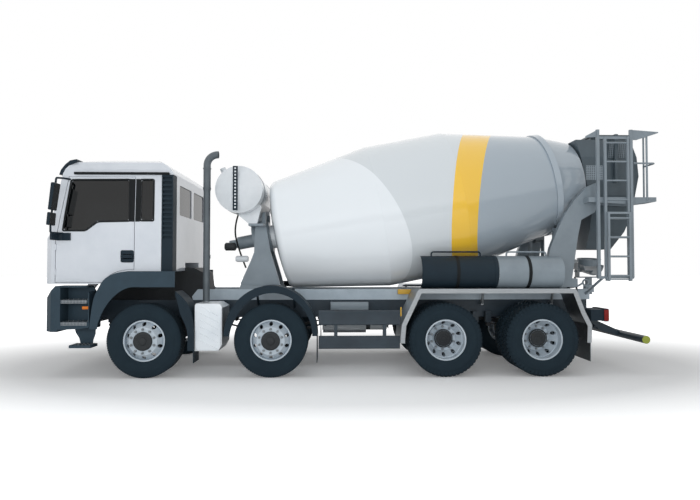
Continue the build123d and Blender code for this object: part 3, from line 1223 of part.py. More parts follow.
def mirror(side):
    """Two mirror housings on a tube loop that stands out from the door."""
    big = side_prism([(-1241, 2367), (-1202, 2745), (-1152, 2745), (-1203, 2367)], MIRROR_Y, 15)
    small = side_prism([(-1262, 2156), (-1246, 2333), (-1208, 2333), (-1222, 2156)], MIRROR_Y, 15)
    y = (MIRROR_Y[0] + MIRROR_Y[1]) / 2
    arm = bent_rod([(-1180, -CAB_Y + 8, 2055), (-1212, -1200, 2055), (-1243, y, 2055), (-1243, y, 2200),
                    (-1172, y, 2820), (-1150, -1190, 2838), (-1100, -1080, 2838)], 14, 25)
    foot = plan_prism([(-1262, -1114), (-1262, -1180), (-1250, y), (-1225, y), (-1215, -1180), (-1180, -1146),
                       (-1072, -1146), (-1072, -1114)], (1955, 2062))
    return on_side(big + small + arm + foot - cab_block(0), side)


CAB_HINGE_Y = 300.0


def cab_supports():
    """The two pivots at the front of the frame and the cab's two feet on them."""
    foot = None
    for y in (-CAB_HINGE_Y, CAB_HINGE_Y):
        part = side_prism([(PIVOT_X - 38, PIVOT_Z), (PIVOT_X + 155, CAB_LOW + 4), (PIVOT_X + 310, CAB_LOW + 4),
                           (PIVOT_X + 45, PIVOT_Z), (PIVOT_X + 25, PIVOT_Z - 40), (PIVOT_X - 25, PIVOT_Z - 40)],
                          (y - 25, y + 25))
        foot = part if foot is None else foot + part
    pin = rod((PIVOT_X, -CAB_HINGE_Y - 60, PIVOT_Z), (PIVOT_X, CAB_HINGE_Y + 60, PIVOT_Z), 20 + PIN_GAP)
    return foot - pin


def cab_pivot():
    """The brackets and the pin on which the cab tilts."""
    shape = rod((PIVOT_X, -CAB_HINGE_Y - 56, PIVOT_Z), (PIVOT_X, CAB_HINGE_Y + 56, PIVOT_Z), 20)
    for y in (-CAB_HINGE_Y, CAB_HINGE_Y):
        for s in (-1, 1):
            yy = y + s * 44
            shape += side_prism([(PIVOT_X - 38, PIVOT_Z + 38), (PIVOT_X + 38, PIVOT_Z + 38), (-1100, 960), (-1100, 820),
                                 (PIVOT_X - 38, PIVOT_Z - 60)], (yy - 8, yy + 8))
    shape += block((-1180, -1100), (-RAIL_Y + 1, RAIL_Y - 1), (840, 900))
    return shape


def main():
    os.makedirs("parts", exist_ok=True)
    front_eye, rear_eye = tow_eyes()
    put("frame", frame() + cab_pivot() + front_eye + rear_eye)
    put("subframe", subframe() + swivel_seat())
    put("engine", engine())
    put("axles", [front_axle(0), front_axle(AXLE_2), rear_axle(AXLE_3), rear_axle(AXLE_4)])
    springs = [leaf_spring(x, y, FRONT_SPRING_HALF, SPRING_SEAT, SPRING_EYE_Z)
               for x in (0.0, AXLE_2) for y in (-FRONT_SPRING_Y, FRONT_SPRING_Y)]
    springs += [leaf_spring(x, y, REAR_SPRING_HALF, REAR_SEAT, SPRING_EYE_Z)
                for x in (AXLE_3, AXLE_4) for y in (-REAR_SPRING_Y, REAR_SPRING_Y)]
    put("leaf_springs", springs)
    put("front_mudguards", front_mudguards())
    put("rear_mudguards", rear_mudguards())
    put("side_boards", side_boards())
    put("exhaust", [silencer(), exhaust_stack()])
    put("fuel_tank", fuel_tank())
    put("water_tank", water_tank())
    put("drum_pedestals", [front_pedestal(), rear_pedestal()])
    put("drum", drum())
    put("collector", collector())
    put("inlet_hopper", hopper())
    put("turntable", turntable())
    put("chute", chute())
    for name, (x0, x1) in SPARES.items():
        put(name, spare_chute(x0, x1))
    put("ladder", ladder() + ladder_hinges())
    put("lower_ladder", lower_ladder())
    put("underrun_bar", underrun_bar())
    put("lamps", lamps() + headlamps())
    put("bumper", bumper())
    walls, sheet = cab_walls(), glass_sheet()
    put("cab_shell", cab_shell(walls) + cab_supports() + door_hinges())
    put("cab_glass", cab_glass(sheet))
    put("cab_wings", on_both_sides(cab_wing()))
    put("cab_trim", [*intake(), visor()])
    put("front_flap", front_flap())
    put("cab_interior", [*seats(), dash()])
    for name, side in SIDES.items():
        put(f"roller_{name}", roller(side))
        put(f"door_{name}", door(walls, side))
        put(f"door_glass_{name}", door_glass(sheet, side))
        put(f"mirror_{name}", mirror(side))
        for number, x in enumerate((0.0, AXLE_2), 1):
            put(f"knuckle_{number}_{name}", on_side(knuckle(x), side))
            put(f"rim_{number}_{name}", on_side(front_wheel(x), side))
            put(f"tyre_{number}_{name}", on_side(tyre(x, -FRONT_WHEEL_Y), side))
        for number, x in enumerate((AXLE_3, AXLE_4), 3):
            put(f"rims_{number}_{name}", on_side(twin_rims(x), side))
            put(f"tyres_{number}_{name}", [on_side(tyre(x, -y), side) for y in (TWIN_INNER_Y, TWIN_OUTER_Y)])
    for number, x in enumerate((0.0, AXLE_2), 1):
        put(f"tie_rod_{number}", tie_rod(x))


main()
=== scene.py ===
# %% [markdown]
# # A concrete mixer truck
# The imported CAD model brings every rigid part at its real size. This lesson gives each part its finish,
# adds the small pieces that the CAD model leaves out, and lights the truck like a studio picture.

# %% Load the frame
import bpy
import bmesh
import json
import math
from mathutils import Matrix, Vector

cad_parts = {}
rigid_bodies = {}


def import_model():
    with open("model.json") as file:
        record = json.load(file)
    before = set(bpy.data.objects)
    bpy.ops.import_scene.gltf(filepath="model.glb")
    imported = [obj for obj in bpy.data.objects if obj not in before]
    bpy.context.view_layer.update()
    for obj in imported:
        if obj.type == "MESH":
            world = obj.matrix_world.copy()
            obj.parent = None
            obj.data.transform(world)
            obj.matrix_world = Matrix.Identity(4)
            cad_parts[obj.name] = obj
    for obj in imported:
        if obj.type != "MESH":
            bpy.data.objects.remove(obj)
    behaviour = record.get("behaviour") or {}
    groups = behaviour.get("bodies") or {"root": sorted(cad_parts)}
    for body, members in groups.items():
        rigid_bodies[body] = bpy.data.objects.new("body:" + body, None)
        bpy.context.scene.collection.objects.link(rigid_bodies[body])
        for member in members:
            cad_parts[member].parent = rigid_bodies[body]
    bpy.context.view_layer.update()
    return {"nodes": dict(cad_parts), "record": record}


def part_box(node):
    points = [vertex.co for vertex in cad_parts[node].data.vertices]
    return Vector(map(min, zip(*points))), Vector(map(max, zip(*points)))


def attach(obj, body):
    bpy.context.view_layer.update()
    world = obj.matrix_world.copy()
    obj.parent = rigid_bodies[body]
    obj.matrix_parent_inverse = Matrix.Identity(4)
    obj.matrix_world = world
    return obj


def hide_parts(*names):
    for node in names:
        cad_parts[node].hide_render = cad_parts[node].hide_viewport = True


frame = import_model()
nodes = frame["nodes"]
bpy.ops.object.select_all(action="DESELECT")

# %% [markdown]
# ## Places read from the frame
# The wheels give the places of the four axles. Everything that sits at a known distance from an axle is
# then placed from these values, so it stays right when the CAD model is packed again.

# %% Axles and sides
SIDES = {"left": -1, "right": 1}


def middle(node):
    low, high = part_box(node)
    return Vector([(a + b) / 2 for a, b in zip(low, high)])


def wheel_node(part, axle, side):
    """The front axles carry one wheel on each side, the rear axles two, whose nodes end in s."""
    return f"{part}_{axle}_{side}" if axle < 3 else f"{part}s_{axle}_{side}"


AXLE_X = {axle: middle(wheel_node("tyre", axle, "left")).x for axle in (1, 2, 3, 4)}
HUB_Z = middle("tyre_1_left").z
print("axles at", [round(x, 3) for x in AXLE_X.values()], "hub height", round(HUB_Z, 4))

# %% [markdown]
# ## The camera
# The photograph was taken from the left with a moderate wide angle, a little in front of the truck's
# middle and at chest height. A camera looks along its own -Z, so 90 degrees about X makes it look level.

# %% Camera
CAMERA_FROM_AXLE_1 = 2.7061
CAMERA_PLACE = (AXLE_X[1] + CAMERA_FROM_AXLE_1, -9.2302, 1.6096)
CAMERA_YAW = 0.0270
CAMERA_PITCH = 0.0261
CAMERA_LENS = 28.80
SENSOR_WIDTH = 36.0

bpy.ops.object.camera_add(location=CAMERA_PLACE, rotation=(math.pi / 2 + CAMERA_PITCH, 0, -CAMERA_YAW))
camera = bpy.context.object
camera.name = "camera"
camera.data.lens = CAMERA_LENS
camera.data.sensor_width = SENSOR_WIDTH
bpy.context.scene.camera = camera
print("camera", [round(v, 2) for v in CAMERA_PLACE], "lens", CAMERA_LENS, "mm")

# %% [markdown]
# ## Colours and nodes
# Colours are written as sRGB hex values, as a paint chart gives them, and one function turns them into
# the linear numbers that a renderer adds up. One more function adds any shader node with its settings and
# links.

# %% Helpers for materials
def srgb(hex_value):
    """An opaque colour in the linear numbers of the renderer."""
    channels = [int(hex_value[i:i + 2], 16) / 255 for i in (1, 3, 5)]
    linear = [c / 12.92 if c <= 0.04045 else ((c + 0.055) / 1.055) ** 2.4 for c in channels]
    return (*linear, 1.0)


def add_node(material, kind, inputs=None, **settings):
    made = material.node_tree.nodes.new(kind)
    for name, value in settings.items():
        setattr(made, name, value)
    for name, value in (inputs or {}).items():
        if isinstance(value, bpy.types.NodeSocket):
            material.node_tree.links.new(value, made.inputs[name])
        else:
            made.inputs[name].default_value = value
    return made


def new_finish(name, **sockets):
    """A material with one Principled shader, and that shader."""
    material = bpy.data.materials.new(name)
    material.use_nodes = True
    shader = material.node_tree.nodes["Principled BSDF"]
    for socket, value in sockets.items():
        shader.inputs[socket.replace("_", " ")].default_value = value
    return material, shader


def drive(material, shader, socket, output):
    material.node_tree.links.new(output, shader.inputs[socket])


def place_of(material):
    return add_node(material, "ShaderNodeTexCoord").outputs["Object"]


def noise(material, place, size_mm, **inputs):
    """Soft random patches whose features have a real size, from 0 to 1."""
    repeats_per_metre = 1000.0 / size_mm
    return add_node(material, "ShaderNodeTexNoise",
                    {"Vector": place, "Scale": repeats_per_metre, **inputs}).outputs["Fac"]


def spread(material, value, low, high, start=0.0, end=1.0):
    """Turn a value that runs from start to end into one that runs from low to high."""
    return add_node(material, "ShaderNodeMapRange", {"Value": value, "From Min": start, "From Max": end,
                                                     "To Min": low, "To Max": high}).outputs["Result"]


def maths(material, operation, first, second):
    return add_node(material, "ShaderNodeMath", {0: first, 1: second}, operation=operation).outputs["Value"]


def mixed(material, factor, first, second):
    mix = add_node(material, "ShaderNodeMix", data_type="RGBA")
    material.node_tree.links.new(factor, mix.inputs["Factor"])
    for index, value in ((6, first), (7, second)):  # the sockets of the two colours
        if isinstance(value, bpy.types.NodeSocket):
            material.node_tree.links.new(value, mix.inputs[index])
        else:
            mix.inputs[index].default_value = value
    return mix.outputs[2]


def bumpy(material, shader, height, strength, depth):
    """Let light fall as if the surface rose with a value, by up to a depth in metres."""
    bump = add_node(material, "ShaderNodeBump", {"Height": height, "Strength": strength, "Distance": depth})
    drive(material, shader, "Normal", bump.outputs["Normal"])


print("material helpers ready")

# %% [markdown]
# ## Sprayed paint
# Truck paint is a coloured base under clear lacquer. Spraying leaves a faint orange-peel waviness a few
# millimetres across, and road dust makes soft patches about half a metre wide. Both come from noise at
# those real sizes.

# %% Paints
ORANGE_PEEL_MM, PEEL_STRENGTH, PEEL_DEPTH = 9.0, 0.02, 0.001
DUST_PATCH_MM = 420.0
DUST_FROM, DUST_TO = 0.35, 0.75
PAINT_IOR = 1.5


def orange_peel(material, shader, place):
    bumpy(material, shader, noise(material, place, ORANGE_PEEL_MM, Detail=2.0), PEEL_STRENGTH, PEEL_DEPTH)


def sprayed_paint(name, colour, dusty, roughness=0.28, coat=0.6):
    """Paint whose colour drifts a little towards the dusty one, in soft patches."""
    material, shader = new_finish(name, Roughness=roughness, IOR=PAINT_IOR, Coat_Weight=coat,
                                  Coat_Roughness=0.08)
    place = place_of(material)
    patches = noise(material, place, DUST_PATCH_MM, Detail=5.0, Roughness=0.6)
    dust = spread(material, patches, 0.0, 1.0, DUST_FROM, DUST_TO)
    drive(material, shader, "Base Color", mixed(material, dust, srgb(colour), srgb(dusty)))
    orange_peel(material, shader, place)
    return material


cab_lacquer = sprayed_paint("cab_lacquer", "#DADEE4", "#D0D5DC", roughness=0.22)
chassis_paint = sprayed_paint("chassis_paint", "#1E2A33", "#2E3B45", roughness=0.45, coat=0.2)
dark_axle_paint = sprayed_paint("dark_axle_paint", "#1B1E21", "#2C2F31", roughness=0.6, coat=0.0)
superstructure_grey = sprayed_paint("superstructure_grey", "#8A959D", "#7C868D", roughness=0.38, coat=0.3)
collector_paint = sprayed_paint("collector_paint", "#47535A", "#525F67", roughness=0.42, coat=0.2)
subframe_grey = sprayed_paint("subframe_grey", "#B9C5CE", "#9EABB5", roughness=0.4, coat=0.3)
tank_paint = sprayed_paint("tank_paint", "#E2E5E8", "#D3D8DC", roughness=0.25)
rim_silver = sprayed_paint("rim_silver", "#C3CDD5", "#ABB6BF", roughness=0.36, coat=0.3)
warning_yellow = sprayed_paint("warning_yellow", "#E3B33C", "#CFA23A", roughness=0.4, coat=0.3)
bright_sheet = sprayed_paint("bright_sheet", "#EEF2F5", "#DDE3E8", roughness=0.4, coat=0.2)
print("paints made")

# %% [markdown]
# ## The drum's two coats and its band
# The drum is sprayed pale in front of a yellow band and blue-grey behind it, and its front zone is made
# lighter still: this is painted sheen where the front of the drum faces the light. On a curved drum a stripe
# that looks slanted is a flat cut through it, so each border is a plane: the dot product of a point with
# the plane's normal tells which side of it the point is on. Object coordinates turn with the drum, and so
# does the pattern.

# %% Drum paint
BORDERS = {  # a normal, and the distance along it in metres, measured from axle 1
    # ahead of this border the drum is made lighter: painted sheen on its front, not a coat of paint
    "pale_front": ((0.7941, 0.4366, 0.4228), 3.4169),
    "band_front": ((0.950, -0.3045, -0.0691), 4.3744),
    "band_rear": ((0.9336, -0.3473, -0.0885), 4.6569),
}
COAT_BEHIND = {"pale_front": "#D9DEE1", "band_front": "#FBC93E", "band_rear": "#A7B2BB"}


def beyond(material, place, border):
    normal, distance = BORDERS[border]
    along = add_node(material, "ShaderNodeVectorMath", {0: place, 1: normal}, operation="DOT_PRODUCT")
    return maths(material, "GREATER_THAN", along.outputs["Value"], distance + normal[0] * AXLE_X[1])


def drum_coat():
    material, shader = new_finish("drum_coat", Roughness=0.2, IOR=PAINT_IOR, Coat_Weight=0.8,
                                  Coat_Roughness=0.06)
    place = place_of(material)
    # the colour it starts from is the front's painted sheen, lighter than the pale paint behind the first
    # border
    colour = srgb("#EEF2F5")
    for border, behind in COAT_BEHIND.items():
        colour = mixed(material, beyond(material, place, border), colour, srgb(behind))
    drive(material, shader, "Base Color", colour)
    orange_peel(material, shader, place)
    return material


drum_paint_and_sheen = drum_coat()
print("drum paint made")

# %% [markdown]
# ## Plastics, rubber and lenses
# Mudguards, steps and mirrors are moulded plastic with a fine leather-like grain. Tyres are matt black
# rubber that dust turns grey. Lenses are smooth, so their grain has no strength. One function makes them
# all from a colour, a gloss and a grain.

# %% Moulded plastic and rubber
GRAIN_MM, GRAIN_DEPTH = 2.5, 0.0006
WEAR_PATCH_MM = 180.0


def moulded(name, colour, roughness, grain_strength=0.25, grain_mm=GRAIN_MM, worn=None):
    material, shader = new_finish(name, IOR=1.46, Specular_IOR_Level=0.3)
    place = place_of(material)
    patches = noise(material, place, WEAR_PATCH_MM, Detail=6.0)
    drive(material, shader, "Base Color", mixed(material, patches, srgb(colour), srgb(worn or colour)))
    drive(material, shader, "Roughness", spread(material, patches, roughness - 0.07, roughness + 0.07))
    bumpy(material, shader, noise(material, place, grain_mm, Detail=3.0), grain_strength, GRAIN_DEPTH)
    return material


black_moulding = moulded("black_moulding", "#14212A", 0.5, worn="#1D2C36")
grey_moulding = moulded("grey_moulding", "#2C3A44", 0.5, worn="#384954")
tyre_rubber = moulded("tyre_rubber", "#14212A", 0.78, 0.4, 4.0, worn="#223038")
seal_rubber = moulded("seal_rubber", "#0E1113", 0.6, 0.15, worn="#161A1C")
signal_rubber = moulded("signal_rubber", "#A5B04C", 0.55, 0.2, worn="#969F4A")
seat_cloth = moulded("seat_cloth", "#2B3036", 0.85, 0.6, 6.0, worn="#363C42")
orange_lens = moulded("orange_lens", "#D9792B", 0.2, 0.0)
red_lens = moulded("red_lens", "#8E1F1C", 0.2, 0.0, worn="#7A1A18")
clear_lens = moulded("clear_lens", "#B9C2C7", 0.12, 0.0, worn="#CDD4D8")
print("mouldings made")

# %% [markdown]
# ## Bare metal
# Sheet and bar keep the marks of the rollers and of brushing: long along the piece, a few millimetres
# across. The pattern is noise stretched along X, and it changes the gloss as well as the colour. The
# exhaust is bright up to the silencer's top, and heat has stained the pipe above it.

# %% Metals
BRUSH_MM = (220.0, 3.0, 3.0)
SILENCER_TOP = 1.06  # metres above the ground
HEAT_STAIN_MM = 160.0


def bare_metal(name, colour, roughness):
    material, shader = new_finish(name, Metallic=1.0)
    stretched = add_node(material, "ShaderNodeMapping",
                         {"Vector": place_of(material), "Scale": [1000.0 / size for size in BRUSH_MM]})
    marks = add_node(material, "ShaderNodeTexNoise", {"Vector": stretched.outputs["Vector"], "Scale": 1.0,
                                                      "Detail": 4.0}).outputs["Fac"]
    drive(material, shader, "Base Color", mixed(material, marks, srgb(colour), srgb("#8C9398")))
    drive(material, shader, "Roughness", spread(material, marks, roughness - 0.1, roughness + 0.12))
    bumpy(material, shader, marks, 0.15, 0.0005)
    return material


def exhaust_finish():
    """Bright aluminium up to the silencer's top, and above it the dull, heat-stained pipe."""
    material, shader = new_finish("exhaust_steel", Roughness=0.45)
    place = place_of(material)
    height = add_node(material, "ShaderNodeSeparateXYZ", {"Vector": place}).outputs["Z"]
    above = maths(material, "GREATER_THAN", height, SILENCER_TOP)
    stain = noise(material, place, HEAT_STAIN_MM, Detail=5.0)
    pipe = mixed(material, stain, srgb("#545B60"), srgb("#6E767B"))
    drive(material, shader, "Base Color", mixed(material, above, srgb("#DDE1E4"), pipe))
    drive(material, shader, "Metallic", spread(material, above, 0.9, 0.35))
    return material


mill_aluminium = bare_metal("mill_aluminium", "#D3D7DA", 0.42)
worn_steel = bare_metal("worn_steel", "#9A9EA1", 0.38)
mirror_silver = bare_metal("mirror_silver", "#E6E9EB", 0.12)
exhaust_steel = exhaust_finish()
print("metals made")

# %% [markdown]
# ## Tinted glass
# The windows are toughened glass, tinted dark in the melt. The shader lets light through, so the cab
# behind them shows faintly, and a slight drift between two tints keeps a large pane from looking printed.

# %% Glass
TINT_HAZE_MM = 600.0
window_glass, window_shader = new_finish("window_glass", Roughness=0.03, IOR=1.5, Transmission_Weight=0.85)
haze = noise(window_glass, place_of(window_glass), TINT_HAZE_MM)
drive(window_glass, window_shader, "Base Color", mixed(window_glass, haze, srgb("#171B1D"), srgb("#23282A")))
print("materials:", len(bpy.data.materials))

# %% [markdown]
# ## Finishes on the CAD nodes
# Each CAD node keeps its shape and gets one of the finishes above. The table goes from the start of a
# node's name to its finish, and the first match counts.

# %% Assign finishes
FINISH_OF = {
    "frame": chassis_paint, "subframe": subframe_grey, "engine": dark_axle_paint, "axles": dark_axle_paint,
    "leaf_springs": dark_axle_paint, "bumper": grey_moulding, "lamps": black_moulding,
    "front_mudguards": black_moulding, "rear_mudguards": mill_aluminium, "side_boards": chassis_paint,
    "exhaust": exhaust_steel, "fuel_tank": mill_aluminium, "water_tank": tank_paint,
    "drum_pedestals": superstructure_grey, "collector": collector_paint, "inlet_hopper": collector_paint,
    "ladder": superstructure_grey, "underrun_bar": chassis_paint,
    "spare_chute_dark": black_moulding, "spare_chute_grey": superstructure_grey,
    "drum": drum_paint_and_sheen, "turntable": superstructure_grey, "chute": superstructure_grey,
    "lower_ladder": superstructure_grey, "cab_shell": cab_lacquer, "cab_glass": window_glass,
    "cab_wings": grey_moulding, "cab_trim": black_moulding, "cab_interior": black_moulding,
    "front_flap": grey_moulding, "roller": worn_steel, "door_glass": window_glass, "door": cab_lacquer,
    "mirror": black_moulding, "knuckle": dark_axle_paint, "rim": rim_silver, "tyre": tyre_rubber,
    "tie_rod": dark_axle_paint,
}


def finish_of(node):
    return next(material for start, material in FINISH_OF.items() if node.startswith(start))


for name, thing in nodes.items():
    thing.data.materials.clear()
    thing.data.materials.append(finish_of(name))
print("finished nodes:", len(nodes))

# %% [markdown]
# ## Modelling by hand, written down
# Every added piece is made with the operators that a person would use in edit mode. A few short functions
# keep that readable: they start a piece from a box, a rod or a line of edges, pick faces by the way they
# look, and pull, push or inset what is picked.

# %% Starting a piece
MM = 0.001
LEFTWARD, RIGHTWARD, FORWARD, REARWARD, UPWARD = (0, -1, 0), (0, 1, 0), (-1, 0, 0), (1, 0, 0), (0, 0, 1)
TURNED_TO = {"x": (0, math.pi / 2, 0), "y": (math.pi / 2, 0, 0), "z": (0, 0, 0)}


def at(x, y, z):
    """A place in millimetres from the first axle, the truck's middle plane and the ground."""
    return Vector((AXLE_X[1] + x * MM, y * MM, z * MM))


def start(name, primitive, stretch=None, **settings):
    """Add a primitive, write its turn and scale into its mesh, and leave it in edit mode."""
    bpy.ops.object.select_all(action="DESELECT")
    primitive(**settings)
    piece = bpy.context.object
    piece.name = name
    if stretch:
        piece.scale = stretch
    bpy.ops.object.transform_apply(location=True, rotation=True, scale=True)
    bpy.ops.object.mode_set(mode="EDIT")
    return piece


def start_box(name, x, y, z):
    """A box between two values along each axis, in millimetres."""
    low, high = at(x[0], y[0], z[0]), at(x[1], y[1], z[1])
    return start(name, bpy.ops.mesh.primitive_cube_add, size=1.0, location=(low + high) / 2, scale=high - low)


def start_rod(name, centre, radius, length, along, sides):
    """A rod round a middle, in millimetres, that lies along x, y or z."""
    return start(name, bpy.ops.mesh.primitive_cylinder_add, vertices=sides, radius=radius * MM,
                 depth=length * MM, location=at(*centre), rotation=TURNED_TO[along])


def take_all():
    bpy.ops.mesh.select_all(action="SELECT")


def start_line(name, places, closed=False):
    """A line of edges through some places, drawn by pulling one point along, left in edit mode."""
    bpy.ops.object.select_all(action="DESELECT")
    bpy.ops.mesh.primitive_plane_add(size=0.01, location=(0, 0, 0))
    piece = bpy.context.object
    piece.name = name
    bpy.ops.object.mode_set(mode="EDIT")
    bpy.ops.mesh.select_mode(type="VERT")
    take_all()
    bpy.ops.mesh.merge(type="CENTER")
    bpy.ops.transform.translate(value=places[0])
    for here, there in zip(places, places[1:]):
        bpy.ops.mesh.extrude_vertices_move(TRANSFORM_OT_translate={"value": there - here})
    if closed:
        take_all()
        bpy.ops.mesh.edge_face_add()
    return piece


# %% Picking and pulling faces
def facing(look, either_way=False, least=0.9):
    """Select only the faces that look one way, or along one line either way."""
    bpy.ops.mesh.select_mode(type="FACE")
    bpy.ops.mesh.select_all(action="DESELECT")
    data = bpy.context.edit_object.data
    mesh = bmesh.from_edit_mesh(data)
    for face in mesh.faces:
        along = face.normal.dot(Vector(look))
        if (abs(along) if either_way else along) > least:
            face.select_set(True)
    bmesh.update_edit_mesh(data)


def push(x, y, z):
    """Move what is selected, in millimetres."""
    bpy.ops.transform.translate(value=(x * MM, y * MM, z * MM))


def pull(x, y, z):
    """Extrude what is selected, in millimetres."""
    bpy.ops.mesh.extrude_region_move(TRANSFORM_OT_translate={"value": (x * MM, y * MM, z * MM)})


def turn(degrees, axis, centre):
    """Turn what is selected round a place in metres; with no window, a positive angle turns clockwise."""
    bpy.ops.transform.rotate(value=math.radians(degrees), orient_axis=axis, center_override=centre)


def inset(width):
    bpy.ops.mesh.inset(thickness=width * MM)


def stepped(look, border, rise):
    """Draw a border inside the faces that look one way, and raise their middle; a negative rise sinks it."""
    facing(look)
    inset(border)
    pull(*(rise * part for part in look))


# %% Finishing a piece
BODY_OF = {node: body for body, members in frame["record"]["behaviour"]["bodies"].items() for node in members}


def choose(*pieces):
    """Back in object mode, select only these pieces; the first one is active."""
    bpy.ops.object.mode_set(mode="OBJECT")
    bpy.ops.object.select_all(action="DESELECT")
    for piece in pieces:
        piece.select_set(True)
    bpy.context.view_layer.objects.active = pieces[0]


def bevelled(piece, width_mm, segments=2, angle=30.0):
    """Round every edge that is sharper than an angle."""
    bpy.ops.object.mode_set(mode="OBJECT")
    bevel = piece.modifiers.new("edge", "BEVEL")
    bevel.width = width_mm * MM
    bevel.segments = segments
    bevel.limit_method = "ANGLE"
    bevel.angle_limit = math.radians(angle)
    bpy.ops.object.modifier_apply(modifier=bevel.name)


def dress(piece, like):
    """Give a piece the body of a CAD node."""
    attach(piece, BODY_OF[like])


def finished(piece, material, like, smooth=35.0, recalculate=True, edge=0.0):
    """Round the edges, smooth the gentle ones, and give the piece its finish and body."""
    if edge:
        bevelled(piece, edge)
    choose(piece)
    if recalculate:
        bpy.ops.object.mode_set(mode="EDIT")
        take_all()
        bpy.ops.mesh.normals_make_consistent(inside=False)
        bpy.ops.object.mode_set(mode="OBJECT")
    bpy.ops.object.shade_smooth_by_angle(angle=math.radians(smooth))
    piece.data.materials.clear()
    piece.data.materials.append(material)
    dress(piece, like)
    return piece


# %% Copying a piece
def copied(piece, name, like, move=(0, 0, 0), mirror=False):
    """A copy with its own mesh, moved in millimetres, or mirrored to the right-hand side."""
    twin = piece.copy()
    twin.data = piece.data.copy()
    twin.name = name
    twin.parent = None
    bpy.context.scene.collection.objects.link(twin)
    twin.data.transform(Matrix.Translation(Vector(move) * MM))
    if mirror:
        twin.data.transform(Matrix.Diagonal((1, -1, 1, 1)))
        twin.data.flip_normals()
    dress(twin, like)
    return twin


def mirrored(piece, like):
    """The right-hand twin, named after the left-hand piece."""
    left = piece.name
    right = left.replace("left", "right") if "left" in left else f"{left}_right"
    return copied(piece, right, like, mirror=True)


def on_both_sides(piece, material, like, smooth=35.0, edge=0.0):
    """Finish a left-hand piece and add its twin; {} in the node's name stands for the side."""
    finished(piece, material, like.format("left"), smooth, edge=edge)
    mirrored(piece, like.format("right"))


def row_of(piece, like, count, step):
    """A row of copies, each a step in millimetres further on; the first one's name ends in 1."""
    stem = piece.name[:-1]
    return [piece] + [copied(piece, f"{stem}{number + 1}", like, [number * part for part in step])
                      for number in range(1, count)]


def count_of(*stems):
    """How many pieces have a name that starts with one of these words."""
    return len([piece for piece in bpy.data.objects if piece.name.startswith(stems)])


# %% [markdown]
# ## Turned things
# Tyres, caps and nuts are round about a crosswise line. Their half section is drawn as a line of edges
# and spun about that line, which is how the real mould or lathe makes them too.

# %% The spin
def spun(name, profile, centre, steps):
    """A half section, given as (distance along Y, radius) in millimetres, spun about a line along Y."""
    hub = at(*centre)
    places = [hub + Vector((0, along * MM, radius * MM)) for along, radius in profile]
    piece = start_line(name, places)
    take_all()
    bpy.ops.mesh.spin(steps=steps, angle=math.tau, center=hub, axis=(0, 1, 0))
    take_all()
    bpy.ops.mesh.remove_doubles(threshold=0.0001)
    bpy.ops.mesh.normals_make_consistent(inside=False)
    return piece


def ring_of(piece, centre, count):
    """Repeat what is in the piece around a line along Y, in edit mode."""
    bpy.ops.object.mode_set(mode="EDIT")
    take_all()
    bpy.ops.mesh.spin(steps=count - 1, angle=math.tau * (count - 1) / count, center=at(*centre),
                      axis=(0, 1, 0), dupli=True)

# %% [markdown]
# ## Tyres
# A truck tyre has a flat tread with square shoulders and a sidewall that bulges a little above the rim.
# The CAD tyre is a plain ring, so a full tyre stands in for it: the carcass is spun, and the tread blocks
# are one block repeated round it. The two front axles steer and wear long ribs; the driven axles wear
# open lugs.

# %% Carcass
TYRE_HALF, TREAD_HALF, GROOVE = 157.0, 132.0, 12.0
WIDE_BLOCK = 50.0  # blocks wider than this reach over the shoulder
BLOCK_TAPER = (0.9, 0.94, 1.0)
CARCASS_STEPS = 72
OUTER_RADIUS = HUB_Z / MM
SIDE_LINE = [  # out from the tyre's middle, and from the wheel's axis
    (108, 287), (116, 292), (134, 302), (141, 312), (147, 330), (150, 334), (150, 342), (154, 352),
    (157, 390), (157, 424), (155, 440), (153, 444), (152, 458), (148, 476), (143, 492), (139, 498),
    (137, 507), (TREAD_HALF - 3, OUTER_RADIUS - GROOVE),
]
WHEEL_Y = {n: (-1060.0,) if n < 3 else (-1088.0, -738.0) for n in (1, 2, 3, 4)}
AXLE_MM = {n: (AXLE_X[n] - AXLE_X[1]) / MM for n in AXLE_X}


def carcass(name, centre):
    right = [(along, radius) for along, radius in SIDE_LINE]
    left = [(-along, radius) for along, radius in reversed(SIDE_LINE)]
    return spun(name, right + left + [right[0]], centre, CARCASS_STEPS)


# %% Tread blocks
ROW_AT_EDGE = 0.6  # rows further out than this share of the tread's half width get a shoulder


def tread_block(name, centre, row, width, length, shift):
    """One rubber block on top of the tyre; rows at the edge get a sloping shoulder."""
    x, y, z = centre
    top = z + OUTER_RADIUS - 0.5
    block = start_box(name, (x - length / 2, x + length / 2), (y + row - width / 2, y + row + width / 2),
                      (top - GROOVE - 2, top))
    facing(UPWARD)
    bpy.ops.transform.resize(value=BLOCK_TAPER)
    if abs(row) > TREAD_HALF * ROW_AT_EDGE:
        side = math.copysign(1.0, row)
        reach = (TYRE_HALF - 3 - abs(row) - width / 2) if width > WIDE_BLOCK else 7.0
        facing((0, side, 0))
        pull(0, side * reach, -reach)
        if width > WIDE_BLOCK:
            pull(0, side * 2, -34)
    take_all()
    turn(360 * shift, "Y", at(*centre))
    return block


def joined(*pieces):
    choose(*pieces)
    bpy.ops.object.join()
    return pieces[0]


def tread(name, centre, rows, width, count, cover):
    """Rows of blocks, every second row turned by half a pitch; cover is the block's share of a pitch."""
    pitch = math.tau * OUTER_RADIUS / count
    blocks = []
    for number, row in enumerate(rows):
        block = tread_block(f"{name}_{number}", centre, row, width, pitch * cover, number % 2 * 0.5 / count)
        ring_of(block, centre, count)
        bpy.ops.object.mode_set(mode="OBJECT")
        blocks.append(block)
    return joined(*blocks)


# %% All twelve tyres
TREADS = {  # rows, a block's width, blocks in a row, the block's share of a pitch
    "ribbed": ((-101, -50.5, 0, 50.5, 101), 44, 96, 0.9),
    "lugged": ((-96, -33, 33, 96), 52, 54, 0.74),
}


